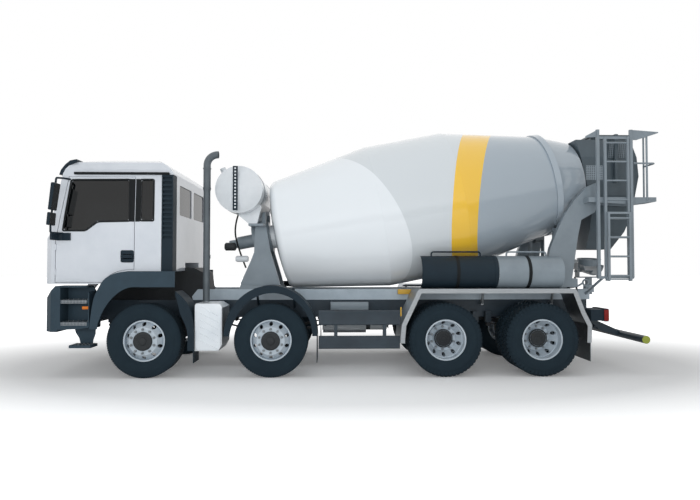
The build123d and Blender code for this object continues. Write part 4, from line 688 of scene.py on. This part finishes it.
def tyre(axle, kind):
    centre = (AXLE_MM[axle], WHEEL_Y[axle][0], OUTER_RADIUS)
    body = carcass(f"carcass_{kind}", centre)
    bpy.ops.object.mode_set(mode="OBJECT")
    whole = joined(body, tread(f"tread_{kind}", centre, *TREADS[kind]))
    return finished(whole, tyre_rubber, wheel_node("tyre", axle, "left"), smooth=28.0, recalculate=False)


for first, kind in ((1, "ribbed"), (3, "lugged")):
    made = tyre(first, kind)
    for axle in (first, first + 1):
        for word, side in SIDES.items():
            node = wheel_node("tyre", axle, word)
            for place, y in zip(("outer", "inner"), WHEEL_Y[axle]):
                move = (AXLE_MM[axle] - AXLE_MM[first], -side * y - WHEEL_Y[first][0], 0)
                twin = copied(made, f"tyre_{place}_{axle}_{word}", node, move)
                if place == "outer":
                    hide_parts(node)
    bpy.data.objects.remove(made)
print("tyres made:", count_of("tyre_outer", "tyre_inner"))

# %% [markdown]
# ## Wheel nuts and hub caps
# Ten nuts hold each wheel. A nut is a six-sided rod whose outer edge is turned off, with the stud showing
# in it. One nut is modelled and repeated round the hub. The front hubs carry a dark cap; on the twin
# wheels the axle's planetary hub stands out in the middle.

# %% Nuts
NUTS, NUT_CIRCLE = 10, 167.5
NUT_RADIUS, NUT_LENGTH = 18.5, 24.0
DISC_FACE = {1: -1228.0, 3: -934.0}  # the outer face of the wheel's disc, across the truck


def nut_ring(name, centre, face, like):
    """One nut, modelled and repeated round the hub; face is where it sits on the disc."""
    x, y, z = centre
    nut = start_rod(name, (x, face - NUT_LENGTH / 2, z + NUT_CIRCLE), NUT_RADIUS, NUT_LENGTH, "y", 6)
    facing(LEFTWARD)
    inset(3.5)
    push(0, -3, 0)
    inset(4.5)
    pull(0, -12, 0)
    facing(RIGHTWARD)
    inset(-5)
    ring_of(nut, centre, NUTS)
    return finished(nut, worn_steel, like, smooth=20.0)


nuts_front, nuts_rear = (
    nut_ring(f"nuts_{axle}_left", (AXLE_MM[axle], WHEEL_Y[axle][0], OUTER_RADIUS), face,
             wheel_node("rim", axle, "left"))
    for axle, face in DISC_FACE.items())
print("nuts on a wheel:", NUTS)

# %% Hub caps
CAP_FRONT = [(-1226, 134), (-1240, 134), (-1250, 128), (-1254, 118), (-1254, 96), (-1250, 90), (-1250, 60),
             (-1262, 52), (-1266, 40), (-1266, 0.01)]
CAP_REAR = [(-1006, 136), (-1014, 136), (-1020, 128), (-1022, 118), (-1032, 110), (-1036, 98), (-1036, 66),
            (-1030, 60), (-1030, 34), (-1036, 28), (-1036, 0.01)]
CAP_STEPS = 48


def hub_cap(name, section, x, like):
    return finished(spun(name, section, (x, 0, OUTER_RADIUS), CAP_STEPS), dark_axle_paint, like, smooth=32.0)


cap_front = hub_cap("hub_cap_1_left", CAP_FRONT, 0, "rim_1_left")
cap_rear = hub_cap("hub_cap_3_left", CAP_REAR, AXLE_MM[3], "rims_3_left")
for piece, stem, first in ((nuts_front, "nuts", 1), (cap_front, "hub_cap", 1), (nuts_rear, "nuts", 3),
                           (cap_rear, "hub_cap", 3)):
    for axle in (first, first + 1):
        for word in SIDES:
            if (axle, word) == (first, "left"):
                continue
            copied(piece, f"{stem}_{axle}_{word}", wheel_node("rim", axle, word),
                   (AXLE_MM[axle] - AXLE_MM[first], 0, 0), word == "right")
print("nut rings and caps:", count_of("nuts", "hub_cap"))

# %% [markdown]
# ## Black trim round the cab's windows
# The side windows sit in rubber seals, and the pillar between them is covered with black film, so that
# they look like one pane. A seal is the window's outline with its middle taken out. The cab's sides lean
# inwards above the window sill, so each trim piece is cut at the sill and its upper part pushed in by
# that lean.

# %% Seals and film
SILL_Z, LEAN_TOP_Z, LEAN = 2300.0, 2990.0, 35.0
CAB_SIDE_Y = 1120.0
DOOR_SEAL = [(-1200, 2083), (-862, 2083), (-690, 2213), (-228, 2223), (-240, 2850), (-1095, 2842)]
QUARTER_SEAL = [(-102, 2228), (-110, 2850), (106, 2850), (112, 2228)]
DOOR_FILM = [(-250, 2226), (-173, 2226), (-173, 2846), (-256, 2846)]
PILLAR_FILM = [(-161, 2226), (-96, 2226), (-100, 2846), (-161, 2846)]


def plate(name, outline, y, thickness, corner=0.0, ring=0.0):
    """A flat outline in X and Z pulled out to the left by a thickness, with round corners or as a ring."""
    piece = start_line(name, [at(x, y, z) for x, z in outline], closed=True)
    if corner:
        take_all()
        bpy.ops.mesh.bevel(affect="VERTICES", offset=corner * MM, segments=4)
    take_all()
    bpy.ops.mesh.normals_make_consistent(inside=False)
    if ring:
        inset(ring)
        bpy.ops.mesh.delete(type="FACE")
        take_all()
    pull(0, -thickness, 0)
    return piece


def lean_in(piece):
    """Cut the piece at the sill and push what is above it in with the cab's lean."""
    take_all()
    bpy.ops.mesh.bisect(plane_co=at(0, 0, SILL_Z), plane_no=(0, 0, 1))
    mesh = bmesh.from_edit_mesh(piece.data)
    for point in mesh.verts:
        above = max(point.co.z / MM - SILL_Z, 0.0)
        point.co.y += above / (LEAN_TOP_Z - SILL_Z) * LEAN * MM
    bmesh.update_edit_mesh(piece.data)


def window_trim(name, outline, like, corner, ring=0.0, thickness=7.0):
    piece = plate(f"{name}_left", outline, -CAB_SIDE_Y + 3, thickness, corner, ring)
    lean_in(piece)
    on_both_sides(piece, seal_rubber, like)


window_trim("door_seal", DOOR_SEAL, "door_{}", 34, ring=24)
window_trim("quarter_seal", QUARTER_SEAL, "cab_shell", 30, ring=24)
window_trim("door_film", DOOR_FILM, "door_{}", 6, thickness=5)
window_trim("pillar_film", PILLAR_FILM, "cab_shell", 6, thickness=5)
print("window trim made")

# %% [markdown]
# ## Gutter, door handle and mirror glass
# A dark gutter runs along the roof over both doors. The door handle is a grip across a dished cup, so
# that fingers fit behind it. Each mirror head holds a flat glass that faces the driver.

# %% Gutter
GUTTER_X, GUTTER_Y, GUTTER_Z = (-1036, 318), (-1128, -1100), (2905, 2940)
# A rail of U section: a bar whose outer face is sunk inside a thin border.
piece = start_box("gutter_left", GUTTER_X, GUTTER_Y, GUTTER_Z)
stepped(LEFTWARD, 5, -4)
on_both_sides(piece, seal_rubber, "cab_shell", edge=2.5)
print("gutter made")

# %% Door handle
HANDLE_X, HANDLE_Z = (-362.0, -176.0), (1640.0, 1816.0)
GRIP_Y, GRIP_Z = (-1148, -1132), (1700, 1752)
(x0, x1), (z0, z1) = HANDLE_X, HANDLE_Z
cup = plate("handle_cup_left", [(x0, z0), (x1, z0), (x1, z1), (x0, z1)], -CAB_SIDE_Y + 2, 12, corner=26)
stepped(LEFTWARD, 12, -8)
bpy.ops.transform.resize(value=(0.94, 1.0, 0.94))
finished(cup, black_moulding, "door_left", edge=2.0)
grip = start_box("handle_grip_left", (x0 + 10, x1 - 10), GRIP_Y, GRIP_Z)
facing(REARWARD, either_way=True)
pull(0, 10, 0)
bevelled(grip, 7.0, 3)
finished(grip, black_moulding, "door_left")
for piece in (cup, grip):
    mirrored(piece, "door_right")
print("door handles made")

# %% Mirror glass
MIRROR_FACES = {"big": ((-1203, 2374), (-1152, 2738)), "small": ((-1222, 2163), (-1208, 2326))}
MIRROR_OUTER_Y, MIRROR_INNER_Y = -1432, -1278


def mirror_glass(name, low, high):
    (x0, z0), (x1, z1) = low, high
    corners = [(x0, MIRROR_OUTER_Y, z0), (x0, MIRROR_INNER_Y, z0), (x1, MIRROR_INNER_Y, z1),
               (x1, MIRROR_OUTER_Y, z1)]
    piece = start_line(f"mirror_{name}_left", [at(*corner) for corner in corners], closed=True)
    take_all()
    bpy.ops.mesh.bevel(affect="VERTICES", offset=14 * MM, segments=3)
    take_all()
    pull(3, 0, 0)
    facing(REARWARD, either_way=True)
    inset(5)
    on_both_sides(piece, mirror_silver, "mirror_{}", smooth=20)


for name, (low, high) in MIRROR_FACES.items():
    mirror_glass(name, low, high)
print("mirrors made:", 2 * len(MIRROR_FACES))

# %% [markdown]
# ## Seats and driver's place
# The CAD cab holds plain blocks for two seats and a dashboard. Here each seat gets a crowned cushion, a
# leaning back and a headrest, the dash is a rounded shelf, and the steering wheel is a ring on three
# spokes.

# %% Cushions
SEAT_Y = 560.0
STAND_X, STAND_HALF, STAND_Z = (-560, -230), 150, (1400, 1800)
CUSHIONS = {  # X, half width, Z, lean over the height
    "seat_cushion": ((-650, -180), 245, (1802, 1902), 0),
    "seat_back": ((-190, -80), 238, (1900, 2540), 110),
    "headrest": ((-100, -20), 140, (2565, 2715), 10),
}


def cushion(name, x, half, z, lean, word, side):
    y = side * SEAT_Y
    piece = start_box(f"{name}_{word}", x, (y - half, y + half), z)
    facing(UPWARD)
    push(lean, 0, 0)
    take_all()
    bpy.ops.mesh.subdivide(number_cuts=3)
    bevelled(piece, 18.0, 2, 50.0)
    soft = piece.modifiers.new("crown", "SUBSURF")
    soft.levels = soft.render_levels = 1
    bpy.ops.object.modifier_apply(modifier=soft.name)
    crown = piece.modifiers.new("stuffing", "CAST")
    crown.factor = 0.12
    crown.use_z = name != "seat_cushion"
    bpy.ops.object.modifier_apply(modifier=crown.name)
    finished(piece, seat_cloth, "cab_interior", smooth=60)


for word, side in SIDES.items():
    for name, (x, half, z, lean) in CUSHIONS.items():
        cushion(name, x, half, z, lean, word, side)
    y = side * SEAT_Y
    stand = start_box(f"seat_stand_{word}", STAND_X, (y - STAND_HALF, y + STAND_HALF), STAND_Z)
    facing(UPWARD)
    bpy.ops.transform.resize(value=(1.15, 1.3, 1.0))
    finished(stand, black_moulding, "cab_interior", edge=14.0)
print("seats made")


# %% Dashboard and steering wheel
DASH_SIDE = [(-1385, 1570), (-1385, 1950), (-1310, 2030), (-1160, 1990), (-1100, 1930), (-1110, 1780),
             (-1210, 1570)]
DASH_HALF = 985
STEERING_X, STEERING_Z, STEERING_LEAN = -870, 2080, -35
STEERING_RADIUS, GRIP_RADIUS = 215, 14
SPOKE = (30, 190, 14)  # width, length and thickness; its middle lies SPOKE_OUT from the hub
SPOKE_OUT = 110
SPOKE_ANGLES = (90, 210, 330)
BOSS_RADIUS, BOSS_DEPTH = 60, 40
piece = plate("dashboard", DASH_SIDE, DASH_HALF, 2 * DASH_HALF)
bevelled(piece, 18.0, 3, 20.0)
finished(piece, black_moulding, "cab_interior")
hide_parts("cab_interior")
centre = at(STEERING_X, -SEAT_Y, STEERING_Z)
piece = start("steering_wheel", bpy.ops.mesh.primitive_torus_add, major_radius=STEERING_RADIUS * MM,
              minor_radius=GRIP_RADIUS * MM, major_segments=48, minor_segments=10, location=centre,
              rotation=(0, math.radians(STEERING_LEAN), 0))
for angle in SPOKE_ANGLES:
    bpy.ops.mesh.select_all(action="DESELECT")
    bpy.ops.mesh.primitive_cube_add(size=1.0, location=centre + Vector((0, SPOKE_OUT * MM, 0)),
                                    scale=[part * MM for part in SPOKE])
    turn(angle, "Z", centre)
    turn(-STEERING_LEAN, "Y", centre)
bpy.ops.mesh.select_all(action="DESELECT")
bpy.ops.mesh.primitive_cylinder_add(vertices=32, radius=BOSS_RADIUS * MM, depth=BOSS_DEPTH * MM,
                                    location=centre)
turn(-STEERING_LEAN, "Y", centre)
finished(piece, black_moulding, "cab_interior")
print("driver's place made")

# %% [markdown]
# ## Round bars
# Wiper arms, levers and locks are bent from round bar. A bar is a line of edges with its corners rounded,
# turned into a curve that has a thickness, and then into a mesh, so its section stays round through every
# bend.

# %% Tube
def tube(name, places, radius, bend, material, like):
    """A round bar through places in millimetres; each corner is rounded by the bend."""
    piece = start_line(name, [at(*place) for place in places])
    if bend:
        take_all()
        bpy.ops.mesh.bevel(affect="VERTICES", offset=bend * MM, segments=5)
    choose(piece)
    bpy.ops.object.convert(target="CURVE")
    curve = bpy.context.object
    curve.data.bevel_depth = radius * MM
    curve.data.bevel_resolution = 3
    curve.data.use_fill_caps = True
    bpy.ops.object.convert(target="MESH")
    return finished(bpy.context.object, material, like, smooth=50)


# %% [markdown]
# ## Wipers
# Two arms rest along the foot of the screen. An arm is a bent steel rod under black lacquer, and its
# rubber blade is a thinner bar that follows the glass.

# %% Arms and blades
WIPER_Y = (-620.0, 60.0)
ARM_BAR, ARM_BEND, BLADE_BAR = 7, 20, 8
for number, y in enumerate(WIPER_Y):
    arm = [(-1412, y + 560, 2010), (-1408, y + 540, 2060), (-1398, y + 200, 2105)]
    blade = [(-1388, y - 60, 2112), (-1393, y + 180, 2104), (-1391, y + 430, 2112)]
    tube(f"wiper_arm_{number}", arm, ARM_BAR, ARM_BEND, black_moulding, "cab_shell")
    tube(f"wiper_blade_{number}", blade, BLADE_BAR, 0, seal_rubber, "cab_shell")
print("wipers made:", len(WIPER_Y))

# %% [markdown]
# ## Rubber hoses
# Each hose hangs between two fittings, drawn as a smooth curve of round section through a few points.

# %% Hoses at the tank and at the rear
HOSE_MM = 26.0
HOSES = {  # control points in mm, length in mm
    "tank_hose": ([(1180, -350, 2400), (1120, -380, 2200), (1180, -420, 1900), (1300, -330, 1560)], 870),
    "rear_hose_1": ([(6270, -700, 1440), (6250, -760, 1240), (6330, -790, 1130), (6420, -760, 1230),
                     (6400, -690, 1420)], 636),
    "rear_hose_2": ([(6310, -640, 1430), (6300, -700, 1200), (6380, -740, 1080), (6450, -700, 1180),
                     (6404, -640, 1400)], 690),
}


def hose(name, places):
    curve = bpy.data.curves.new(name, "CURVE")
    curve.dimensions = "3D"
    spline = curve.splines.new("NURBS")
    spline.points.add(len(places) - 1)
    for point, place in zip(spline.points, places):
        point.co = (*at(*place), 1.0)
    spline.order_u = 3
    spline.use_endpoint_u = True
    spline.resolution_u = 12
    curve.bevel_depth = HOSE_MM / 2 * MM
    curve.bevel_resolution = 3
    curve.use_fill_caps = True
    piece = bpy.data.objects.new(name, curve)
    bpy.context.collection.objects.link(piece)
    piece.data.materials.append(seal_rubber)
    dress(piece, "drum_pedestals")


for name, (places, length_mm) in HOSES.items():
    hose(name, places)
print("hoses made:", len(HOSES))

# %% [markdown]
# ## Silencer shield, tank gauge, bands and pump
# A pressed bright sheet with slanted ribs keeps hands off the hot silencer. The water tank carries a
# black rail with pale marks and is held by two steel bands. Ribs and marks are one shape that is modelled
# once and then repeated.

# %% Silencer shield
SHIELD = [(735, 397), (1082, 397), (1101, 1053), (720, 1053)]
RIB_TILT, RIB_COUNT, RIB_PITCH = 28.0, 6, 96.0
RIB_MIDDLE = (920, -1210, 472)
sheet = plate("silencer_shield", SHIELD, -1198, 14, corner=52)
facing(LEFTWARD)
inset(16)
push(0, -5, 0)
finished(sheet, bright_sheet, "exhaust", edge=3.0)
rib = start_box("shield_rib_1", (770, 1070), (-1222, -1206), (462, 482))
facing(LEFTWARD)
bpy.ops.transform.resize(value=(0.95, 1.0, 0.5))
take_all()
turn(-RIB_TILT, "Y", at(*RIB_MIDDLE))
finished(rib, bright_sheet, "exhaust", edge=4.0)
row_of(rib, "exhaust", RIB_COUNT, (0, 0, RIB_PITCH))
print("shield made, ribs:", RIB_COUNT)

# %% Tank gauge
RAIL_X, RAIL_Y, RAIL_Z = (1204, 1276), (-982, -973), (2408, 3062)
MARK_X, MARK_Y, MARK_Z = (1228, 1252), (-984, -976), (2440, 2464)
GAUGE_MARKS, MARK_PITCH = 13, 48
rail = start_box("tank_gauge_rail", RAIL_X, RAIL_Y, RAIL_Z)
stepped(LEFTWARD, 10, -5)
finished(rail, black_moulding, "water_tank", edge=2.0)
mark = start_box("tank_gauge_mark_1", MARK_X, MARK_Y, MARK_Z)
stepped(LEFTWARD, 3, 2)
finished(mark, tank_paint, "water_tank")
row_of(mark, "water_tank", GAUGE_MARKS, (0, 0, MARK_PITCH))
print("gauge made, marks:", GAUGE_MARKS)

# %% Bands round the water tank
BAND_SECTION = [(-22, 351), (-22, 356), (-18, 358), (18, 358), (22, 356), (22, 351)]
BAND_Y = (-560.0, 560.0)
TANK_X, TANK_Z, BAND_STEPS = 1270, 2735, 72
for number, y in enumerate(BAND_Y, 1):
    band = spun(f"tank_band_{number}", BAND_SECTION, (TANK_X, y, TANK_Z), BAND_STEPS)
    finished(band, worn_steel, "water_tank")
print("bands made:", len(BAND_Y))

# %% Pump and filter under the tank
def lying_drum(name, centre, radius, length, material):
    """A motor or pump body: a rod along X whose ends are stepped and rounded."""
    piece = start_rod(name, centre, radius, length, "x", 40)
    facing(REARWARD, either_way=True)
    inset(radius * 0.22)
    bpy.ops.mesh.extrude_region_shrink_fatten(TRANSFORM_OT_shrink_fatten={"value": length * 0.08 * MM})
    finished(piece, material, "drum_pedestals", edge=4.0)


lying_drum("water_pump", (1075, -430, 1890), 62, 150, dark_axle_paint)
lying_drum("oil_filter", (1250, -390, 1700), 48, 170, tank_paint)
print("pump and filter made")

# %% [markdown]
# ## Studs on the steps
# The steps have raised steel studs for grip, six in a row and three rows on each step. A stud is a short
# pin with a hollow top, which bites better than a flat one.

# %% Step studs
STUD_RADIUS, STUD_HEIGHT, STUDS_IN_ROW = 11, 8, 6
STEP_LEVELS = {1: (470.0, (-1020, -770)), 2: (800.0, (-1140, -800)), 3: (1110.0, (-1140, -800))}
STUD_ROWS = {1: -1160.0, 2: -1080.0, 3: -1000.0}


def stud_row(name, x, y, z):
    stud = start_rod(f"{name}_1", (x[0], y, z + 3), STUD_RADIUS, STUD_HEIGHT, "z", 12)
    stepped(UPWARD, 3, -2)
    finished(stud, worn_steel, "bumper")
    return row_of(stud, "bumper", STUDS_IN_ROW, ((x[1] - x[0]) / (STUDS_IN_ROW - 1), 0, 0))


for level, (z, x) in STEP_LEVELS.items():
    for row, y in STUD_ROWS.items():
        for stud in stud_row(f"step_stud_{level}_{row}", x, y, z):
            copied(stud, stud.name.replace("step_stud", "step_stud_right"), "bumper", mirror=True)
print("studs:", count_of("step_stud"))

# %% [markdown]
# ## Lamps
# An amber marker lamp sits on each side of the bumper. Amber, red and clear lenses fill the tail lamp
# boxes, and the bumper carries round headlamps with a bowl and a rim. A lens is moulded in one piece, so
# each is a body whose outer face is stepped.

# %% Marker lamps
def marker_lamp(name, x, z, y):
    base = start_box(name, (x - 42, x + 42), (y - 8, y + 4), (z - 20, z + 20))
    stepped(LEFTWARD, 5, 9)
    bpy.ops.transform.resize(value=(0.88, 1.0, 0.75))
    on_both_sides(base, orange_lens, "bumper", edge=3.0)


marker_lamp("marker_1_left", -812, 1000, -1217)
print("marker lamps made")

# %% Tail lamps
TAIL_REAR_X, TAIL_OUTER_Y, TAIL_Z = 6699.0, -1150.0, (780.0, 966.0)


def tail_lens(name, y, material):
    lens = start_box(name, (TAIL_REAR_X - 6, TAIL_REAR_X + 10), y, (TAIL_Z[0] + 14, TAIL_Z[1] - 14))
    stepped(REARWARD, 10, 8)
    on_both_sides(lens, material, "lamps", edge=4.0)


tail_lens("tail_lens_amber", (-1136, -1020), orange_lens)
tail_lens("tail_lens_red", (-1014, -890), red_lens)
tail_lens("tail_lens_clear", (-884, -774), clear_lens)
side_red = start_box("tail_side_lens", (TAIL_REAR_X - 68, TAIL_REAR_X - 4),
                     (TAIL_OUTER_Y - 6, TAIL_OUTER_Y + 4), (TAIL_Z[0] + 12, TAIL_Z[1] - 12))
stepped(LEFTWARD, 7, 5)
on_both_sides(side_red, red_lens, "lamps", edge=3.0)
print("tail lamps made")

# %% Headlamps
LAMP_X, LAMP_Z, LAMP_DEPTH = -1436, 892, 24


def round_lamp(name, y, radius):
    piece = start_rod(name, (LAMP_X, y, LAMP_Z), radius, LAMP_DEPTH, "x", 40)
    stepped(FORWARD, 7, -8)
    inset(radius * 0.5)
    push(-12, 0, 0)
    on_both_sides(piece, clear_lens, "lamps", edge=2.0)


round_lamp("headlamp_outer_left", -870, 72)
round_lamp("headlamp_inner_left", -720, 66)
print("headlamps made")

# %% [markdown]
# ## Straps and end band of the spare chutes
# Two webbing straps hold the spare chutes, and a raised band stiffens the dark chute's rear end, where
# the grey chute meets it. All three follow the trough's outside, so each is a short section turned half
# round the trough's middle.

# %% Half bands
SPARE_Y, SPARE_Z, SPARE_R = -965.0, 1500.3, 238.0
STRAP = [(-24, 0.5), (-24, 4), (-18, 5), (18, 5), (24, 4), (24, 0.5)]  # along X, and out from the trough
END_BAND = [(-34, 0.5), (-34, 6), (-6, 7), (6, 4), (18, 2), (18, -6)]


def half_band(name, x, section, steps, material, like):
    centre = at(x, SPARE_Y, SPARE_Z)
    places = [centre + Vector((along * MM, 0, (SPARE_R + out) * MM)) for along, out in section]
    piece = start_line(name, places)
    take_all()
    bpy.ops.mesh.spin(steps=steps, angle=-math.pi, center=centre, axis=(1, 0, 0))
    take_all()
    bpy.ops.mesh.remove_doubles(threshold=0.0001)
    finished(piece, material, like)


half_band("strap_front", 4494, STRAP, 24, seal_rubber, "spare_chute_dark")
half_band("strap_rear", 5541, STRAP, 24, seal_rubber, "spare_chute_grey")
half_band("chute_end_band", 5064, END_BAND, 32, black_moulding, "spare_chute_dark")
print("straps and end band made")

# %% [markdown]
# ## Perforated sheets
# Step edges and guards are punched sheet, which lets mud and concrete fall through. A punched sheet is a
# grid of cells: each cell is inset, its middle is taken out, and the web that is left is made a few
# millimetres thick.

# %% Treads and guards
SHEET_THICKNESS = 4
STEP_EDGE_X, STEP_EDGE_Y = (-1150, -790), -1217
STEP_EDGES = {"step_tread_low": (752, 798), "step_tread_high": (1062, 1108)}
COLLECTOR_LEAN = -11.7
LEAN_CENTRE = (7138, -572, 3290)


def perforated(name, x, z, y, columns, rows, material, like, web=0.3):
    """A sheet of cells across X and Z; web is the share of a cell's width that stays."""
    piece = start(name, bpy.ops.mesh.primitive_grid_add, x_subdivisions=columns, y_subdivisions=rows,
                  size=1.0, location=at((x[0] + x[1]) / 2, y, (z[0] + z[1]) / 2), rotation=TURNED_TO["y"],
                  stretch=((x[1] - x[0]) * MM, (z[1] - z[0]) * MM, 1.0))
    take_all()
    bpy.ops.mesh.inset(thickness=(x[1] - x[0]) / columns * web / 2 * MM, use_individual=True)
    bpy.ops.mesh.delete(type="FACE")
    take_all()
    pull(0, -SHEET_THICKNESS, 0)
    return finished(piece, material, like, smooth=20)


treads = [perforated(name, STEP_EDGE_X, z, STEP_EDGE_Y, 18, 2, mill_aluminium, "bumper")
          for name, z in STEP_EDGES.items()]
for step_edge in treads:
    mirrored(step_edge, "bumper")
perforated("ladder_guard", (6440, 6690), (2870, 3085), -1031, 9, 8, superstructure_grey, "ladder", web=0.35)
perforated("hopper_guard", (7004, 7273), (3290, 3536), -572, 9, 8, superstructure_grey, "collector")
bpy.ops.object.mode_set(mode="EDIT")
take_all()
turn(COLLECTOR_LEAN, "X", at(*LEAN_CENTRE))
bpy.ops.object.mode_set(mode="OBJECT")
print("perforated sheets made")

# %% [markdown]
# ## Ring and arm at the chute's foot
# A cast ring on a bent arm holds the chute's lock. The ring is a torus whose outer side is pressed flat,
# because a casting is faced where something bears on it, and the arm is bent round bar.

# %% Ring and arm
RING_MIDDLE, RING_RADIUS, RING_BAR = (6595, -640, 1332), 46, 15
LOCK_ARM = [(6315, -700, 1263), (6400, -690, 1262), (6480, -680, 1290), (6549, -640, 1332)]
LOCK_ARM_RADIUS, LOCK_ARM_BEND = 15, 60
ring = start("lock_ring", bpy.ops.mesh.primitive_torus_add, location=at(*RING_MIDDLE),
             rotation=TURNED_TO["y"], major_segments=36, minor_segments=12, major_radius=RING_RADIUS * MM,
             minor_radius=RING_BAR * MM)
facing(LEFTWARD, least=0.8)
push(0, 4, 0)
finished(ring, superstructure_grey, "drum_pedestals", smooth=50)
tube("lock_arm", LOCK_ARM, LOCK_ARM_RADIUS, LOCK_ARM_BEND, superstructure_grey, "drum_pedestals")
print("ring and arm made")

# %% [markdown]
# ## Caps and small boxes
# Yellow-green rubber caps close the underrun bar so that it is seen. A control box and a yellow valve box
# sit on the frame: each is a folded steel case with a raised lid. A yellow lever hangs beside the rear
# mudguard.

# %% Caps of the underrun bar
BAR_CAP = [(-1190, 57.5), (-1200, 57.5), (-1206, 52), (-1208, 30), (-1208, 0.01)]
BAR_X, BAR_Z = 7222, 520
on_both_sides(spun("bar_cap_left", BAR_CAP, (BAR_X, 0, BAR_Z), 40), signal_rubber, "underrun_bar")
print("bar caps made")

# %% Small boxes on the frame
LEVER, LEVER_RADIUS = [(3655, -1195, 1000), (3655, -1200, 870)], 9


def small_box(name, x, y, z, material, like):
    piece = start_box(name, x, y, z)
    stepped(LEFTWARD, 12, 4)
    finished(piece, material, like, edge=8.0)


small_box("grey_control_box", (2640, 3225), (-560, -440), (910, 1030), superstructure_grey, "side_boards")
small_box("yellow_valve_box", (3690, 3905), (-520, -437), (1150, 1225), warning_yellow, "drum_pedestals")
tube("yellow_lever", LEVER, LEVER_RADIUS, 0, warning_yellow, "rear_mudguards")
print("boxes and lever made")

# %% [markdown]
# ## Studio floor
# The floor is white and catches the truck's soft shadow. A studio floor runs up into a white backdrop:
# here its glow rises with the distance from the truck, for the camera only, so it lights nothing.

# %% Floor
FLOOR_SIZE = 120.0
SHADOW_REACH = (6.6, 3.4, 1.0)  # half length and half width of the patch that shows the shadow, in metres
GLOW_NEAR, GLOW_FAR = 0.1, 1.0
GLOW_STARTS, GLOW_ENDS = 0.8, 1.6  # in reaches from the middle
bpy.ops.mesh.primitive_plane_add(size=FLOOR_SIZE, location=(0, 0, -0.001))
floor = bpy.context.object
floor.name = "floor"
floor_white, floor_shader = new_finish("floor_white", Roughness=0.9, Specular_IOR_Level=0.1)
for socket in ("Base Color", "Emission Color"):
    floor_shader.inputs[socket].default_value = srgb("#FFFFFF")
spot = add_node(floor_white, "ShaderNodeVectorMath", {0: place_of(floor_white), 1: SHADOW_REACH},
                operation="DIVIDE")
away = add_node(floor_white, "ShaderNodeVectorMath", {0: spot.outputs["Vector"]}, operation="LENGTH")
glow = spread(floor_white, away.outputs["Value"], GLOW_NEAR, GLOW_FAR, GLOW_STARTS, GLOW_ENDS)
floor_rays = add_node(floor_white, "ShaderNodeLightPath")
drive(floor_white, floor_shader, "Emission Strength",
      maths(floor_white, "MULTIPLY", glow, floor_rays.outputs["Is Camera Ray"]))
floor.data.materials.append(floor_white)
print("floor laid")

# %% [markdown]
# ## Studio light
# The world is white for the camera, in reflections and through glass, and dimmer as a light, so that two
# large lamps can shape the drum: one above the truck and one on the camera's side.

# %% World
WORLD_LIGHT = 0.36
world = bpy.data.worlds.new("studio")
bpy.context.scene.world = world
world.use_nodes = True
world.node_tree.nodes.clear()
rays = add_node(world, "ShaderNodeLightPath").outputs
seen = maths(world, "MAXIMUM", rays["Is Camera Ray"], rays["Is Glossy Ray"])
seen = maths(world, "MAXIMUM", seen, rays["Is Transmission Ray"])
sky = add_node(world, "ShaderNodeBackground",
               {"Color": srgb("#FFFFFF"), "Strength": spread(world, seen, WORLD_LIGHT, 1.0)})
add_node(world, "ShaderNodeOutputWorld", {"Surface": sky.outputs["Background"]})

# %% Lamps
LAMPS = {  # place, size across and along in metres, power in watts
    "top_lamp": ((0.0, -1.0, 7.5), (11.0, 5.0), 150.0),
    "camera_side_lamp": ((-1.5, -10.0, 2.4), (12.0, 3.6), 430.0),
}
AIM = Vector((0.0, 0.0, 1.4))
LAMP_COLOUR = (0.92, 0.965, 1.0)
for name, (place, size, power) in LAMPS.items():
    bpy.ops.object.light_add(type="AREA", location=place)
    lamp = bpy.context.object
    lamp.name = name
    lamp.data.shape = "RECTANGLE"
    lamp.data.size, lamp.data.size_y = size
    lamp.data.energy = power
    lamp.data.color = LAMP_COLOUR
    lamp.visible_glossy = False
    lamp.rotation_euler = (AIM - lamp.location).to_track_quat("-Z", "Y").to_euler()
print("lamps:", len(LAMPS))

# %% [markdown]
# ## Hand over
# The view transform is Standard, so colours come out as written.

# %% Finish
bpy.context.scene.view_settings.view_transform = "Standard"
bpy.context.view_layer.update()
